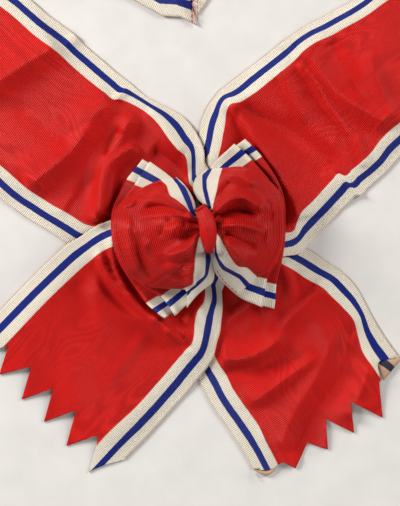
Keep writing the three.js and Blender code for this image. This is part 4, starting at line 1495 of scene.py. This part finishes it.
def ribbonFinish(name, look, striped=True):
    material = bpy.data.materials.new(name)
    material.use_nodes = True
    tree = material.node_tree
    shader = tree.nodes["Principled BSDF"]
    weave = shaderNode(tree, "ShaderNodeSeparateXYZ", (-1500, 0), {
        0: shaderNode(tree, "ShaderNodeUVMap", (-1700, 0), uv_map="weave").outputs[0]})
    across = mathNode(tree, "MULTIPLY", weave.outputs[0], 1000.0, (-1300, 100))
    along = mathNode(tree, "MULTIPLY", weave.outputs[1], 1000.0, (-1300, -100))
    ribs = mathNode(
        tree, "SINE", mathNode(tree, "MULTIPLY", along, 2 * math.pi / look["ribPitch"], (-1100, -200)), 0.0,
        (-900, -200),
    )

    def cloud(acrossScale, alongScale, detail, place, seed=0.0, warp=0.0):
        spot = shaderNode(tree, "ShaderNodeCombineXYZ", (place[0] - 200, place[1]), {
            0: mathNode(tree, "MULTIPLY", across, acrossScale, (place[0] - 400, place[1])),
            1: mathNode(tree, "MULTIPLY", along, alongScale, (place[0] - 400, place[1] - 80)),
            2: seed})
        noise = shaderNode(tree, "ShaderNodeTexNoise", place, {
            "Vector": spot.outputs[0], "Scale": 1.0, "Detail": detail, "Roughness": 0.5, "Distortion": warp})
        return noise.outputs[0]

    watered = cloud(0.075, 0.017, 1.0, (-700, 500), 3.1, 0.6)
    contours = mathNode(
        tree, "SINE", mathNode(tree, "MULTIPLY", watered, 70.0, (-500, 500)), 0.0, (-350, 500),
    )
    patches = rampNode(
        tree, cloud(0.035, 0.02, 1.0, (-700, 300), 9.4), [(0.44, off), (0.62, on)], (-500, 300),
    )
    grain = cloud(1.6, 0.35, 2.0, (-700, 100), 1.7)
    shade = cloud(0.03, 0.03, 2.0, (-700, -400), 5.2)
    moire = mathNode(tree, "MULTIPLY", contours, patches, (-200, 450))
    tone = mathNode(tree, "MULTIPLY_ADD", moire, 0.12, (0, 450), 0.42)
    tone = mathNode(tree, "MULTIPLY_ADD", ribs, look["ribShare"], (150, 450), tone)
    tone = mathNode(
        tree, "MULTIPLY_ADD", grain, 0.25, (300, 450), mathNode(tree, "SUBTRACT", tone, 0.125, (150, 350)),
    )
    tone = mathNode(
        tree, "MULTIPLY_ADD", shade, 0.4, (450, 450), mathNode(tree, "SUBTRACT", tone, 0.2, (300, 350)),
    )
    colour = rampNode(
        tree, tone, [(0.0, look["redDeep"]), (0.45, look["red"]), (1.0, look["redBright"])], (600, 450),
    )
    if striped:
        edgeMap = shaderNode(tree, "ShaderNodeSeparateXYZ", (-1500, -500), {
            0: shaderNode(tree, "ShaderNodeUVMap", (-1700, -500), uv_map="edge").outputs[0]})
        edge = mathNode(tree, "MULTIPLY", edgeMap.outputs[0], 1000.0, (-1300, -500))
        wobble = mathNode(
            tree, "MULTIPLY_ADD", grain, 0.3, (-1100, -500),
            mathNode(tree, "SUBTRACT", edge, 0.15, (-1250, -600)),
        )
        place = mathNode(tree, "DIVIDE", wobble, 20.0, (-900, -500))
        soiled = rampNode(tree, shade, [(0.35, off), (0.75, (0.25, 0.25, 0.25, 1))], (-300, -300))
        cream = mixNode(tree, soiled, look["cream"], look["creamShade"], (0, -300))
        gaps = mathNode(
            tree, "MAXIMUM", mathNode(tree, "MULTIPLY", ribs, -1.0, (-150, -450)), 0.0, (0, -450),
        )
        creamRibs = mixNode(
            tree, mathNode(tree, "MULTIPLY", gaps, 0.8, (100, -450)), cream, look["creamShade"],
            (200, -300),
        )
        isBlue = rampNode(
            tree, place, [(0.0, off), (0.264, off), (0.276, on), (0.464, on), (0.476, off)], (-300, -600),
        )
        isRed = rampNode(tree, place, [(0.0, off), (0.742, off), (0.758, on)], (-300, -800))
        isThread = rampNode(
            tree, place,
            [
                (0.0, (0.8, 0.8, 0.8, 1)), (0.008, (0.6, 0.6, 0.6, 1)), (0.018, off), (0.728, off),
                (0.744, (0.6, 0.6, 0.6, 1)), (0.76, off),
            ],
            (-300, -1000),
        )
        blueTone = mixNode(
            tree, mathNode(tree, "MULTIPLY_ADD", ribs, 0.25, (0, -700), 0.3), look["blue"],
            look["blueBright"], (200, -600),
        )
        stripes = mixNode(tree, isBlue, creamRibs, blueTone, (400, -400))
        stripes = mixNode(tree, isThread, stripes, look["thread"], (600, -400))
        colour = mixNode(tree, isRed, stripes, colour, (800, 0))
    tree.links.new(colour, shader.inputs["Base Color"])
    rough = mathNode(
        tree, "MULTIPLY_ADD", moire, -0.07, (600, 100),
        mathNode(tree, "MULTIPLY_ADD", grain, 0.16, (450, 100), look["roughness"] - 0.08),
    )
    tree.links.new(rough, shader.inputs["Roughness"])
    height = mathNode(
        tree, "MULTIPLY_ADD", grain, 0.6, (600, -150), mathNode(tree, "MULTIPLY", ribs, 0.5, (450, -150)),
    )
    bump = shaderNode(
        tree, "ShaderNodeBump", (900, -200),
        {"Height": height, "Strength": 0.5 + look["ribShare"], "Distance": 0.00022},
    )
    tree.links.new(bump.outputs[0], shader.inputs["Normal"])
    shader.inputs["Sheen Weight"].default_value = 0.03
    shader.inputs["Sheen Roughness"].default_value = 0.35
    shader.inputs["Sheen Tint"].default_value = (1.0, 0.4, 0.35, 1)
    shader.inputs["Specular IOR Level"].default_value = look["shine"]
    return material


def plainFinish(name, colour, roughness, scale):
    material = bpy.data.materials.new(name)
    material.use_nodes = True
    tree = material.node_tree
    shader = tree.nodes["Principled BSDF"]
    spot = shaderNode(tree, "ShaderNodeTexCoord", (-800, 0))
    fibres = shaderNode(
        tree, "ShaderNodeTexNoise", (-600, 0),
        {"Vector": spot.outputs["Object"], "Scale": scale, "Detail": 3.0},
    )
    deep = tuple(c * 0.82 for c in colour[:3]) + (1,)
    tree.links.new(mixNode(tree, fibres.outputs[0], deep, colour, (-300, 0)), shader.inputs["Base Color"])
    bump = shaderNode(
        tree, "ShaderNodeBump", (-300, -300),
        {"Height": fibres.outputs[0], "Strength": 0.2, "Distance": 0.0002},
    )
    tree.links.new(bump.outputs[0], shader.inputs["Normal"])
    shader.inputs["Roughness"].default_value = roughness
    return material


# The ribbon's back where a corner curls over: the cream and the blue in painted shade, tan and near black
reverseInShade = {
    "tan": (0.50, 0.31, 0.20, 1),
    "band": (0.008, 0.008, 0.03, 1),
    "roughness": 0.7,
    "fibres": 900,
}


def reverseInShadeFinish(name, look):
    material = plainFinish(name, look["tan"], look["roughness"], look["fibres"])
    tree = material.node_tree
    edgeMap = shaderNode(tree, "ShaderNodeUVMap", (-1100, 300), uv_map="edge")
    edge = shaderNode(tree, "ShaderNodeSeparateXYZ", (-900, 300), {0: edgeMap.outputs[0]})
    place = mathNode(tree, "MULTIPLY", edge.outputs[0], 50.0, (-700, 300))
    isBand = rampNode(
        tree, place, [(0.0, off), (0.26, off), (0.29, on), (0.46, on), (0.49, off)], (-500, 300),
    )
    base = tree.nodes["Principled BSDF"].inputs["Base Color"]
    banded = mixNode(tree, isBand, base.links[0].from_socket, look["band"], (-100, 200))
    tree.links.new(banded, base)
    return material


# The bow and the knot are the same ribbon as the open lengths, in a darker red that is painted shade; the bow
# shines a little more and the knot's ribs hardly show
shadedBowFinish = {
    **finish,
    "shine": 0.15,
    "roughness": 0.47,
    "red": (0.43, 0.005, 0.004, 1),
    "redDeep": (0.18, 0.002, 0.002, 1),
    "redBright": (0.72, 0.018, 0.013, 1),
}
openRibbon = ribbonFinish("moire ribbon", finish)
shadedBowRibbon = ribbonFinish("bow ribbon in painted shade", shadedBowFinish)
# the knot takes the bow's darker red, the same painted shade
shadedKnotRibbon = ribbonFinish("knot ribbon in painted shade", {**shadedBowFinish, "ribShare": 0.12}, striped=False)
for piece in (rightTail, rightBand, leftBand, leftTail):
    piece.data.materials.append(openRibbon)
for piece in (bowBack, bowMiddle, bowFront):
    piece.data.materials.append(shadedBowRibbon)
knot.data.materials.append(shadedKnotRibbon)
# the curled corners' back, cream and blue in painted shade
tan = reverseInShadeFinish("stripe back in painted shade", reverseInShade)
for piece in curledCorners:
    piece.data.materials.append(tan)
for name, look in threads.items():
    threadPieces[name].data.materials.append(plainFinish(look["finish"], look["colour"], 0.6, 2500))
print("stage: finishes made")

# Table, light and camera
bm = bmesh.new()
bmesh.ops.create_grid(bm, x_segments=2, y_segments=2, size=3)
floorMesh = bpy.data.meshes.new("floor")
bm.to_mesh(floorMesh)
bm.free()
floor = bpy.data.objects.new("floor", floorMesh)
floor.location = (0, 0, -0.0004)
bpy.context.scene.collection.objects.link(floor)
floorMesh.materials.append(plainFinish("pale floor", studio["floor"], 0.9, 60))


lamps = {
    "light left": {"at": (-1.1, 0.6, 0.72), "size": (0.4, 0.7), "power": 28, "colour": (1.0, 0.97, 0.93)},
    "light right": {"at": (1.15, 0.6, 0.72), "size": (0.4, 0.7), "power": 16, "colour": (1.0, 0.96, 0.92)},
    "light front": {"at": (0.1, -1.1, 0.95), "size": (0.9, 0.9), "power": 8, "colour": (1.0, 0.98, 0.96)},
}


def softLight(name, look):
    lamp = bpy.data.lights.new(name, "AREA")
    lamp.shape = "RECTANGLE"
    lamp.size, lamp.size_y = look["size"]
    lamp.energy = look["power"]
    lamp.color = look["colour"]
    x, y, z = look["at"]
    stand = bpy.data.objects.new(name, lamp)
    stand.location = (waist[0] + x, waist[1] + y, z)
    stand.rotation_euler = Vector((-x, -y, -z)).to_track_quat("-Z", "Y").to_euler()
    bpy.context.scene.collection.objects.link(stand)


for name, look in lamps.items():
    softLight(name, look)
world = bpy.data.worlds.new("studio")
bpy.context.scene.world = world
world.use_nodes = True
world.node_tree.nodes["Background"].inputs[0].default_value = studio["air"]
world.node_tree.nodes["Background"].inputs[1].default_value = studio["airStrength"]
bpy.context.scene.view_settings.view_transform = "Standard"

camera = bpy.data.objects.new("camera", bpy.data.cameras.new("camera"))
camera.location = (
    waist[0] + studio["photoCentre"][0] * mm, waist[1] + studio["photoCentre"][1] * mm, studio["distance"])
camera.data.sensor_width = studio["sensor"]
camera.data.lens = studio["sensor"] * (studio["distance"] - 0.006) / (studio["frameHeight"] * mm)
bpy.context.scene.collection.objects.link(camera)
bpy.context.scene.camera = camera
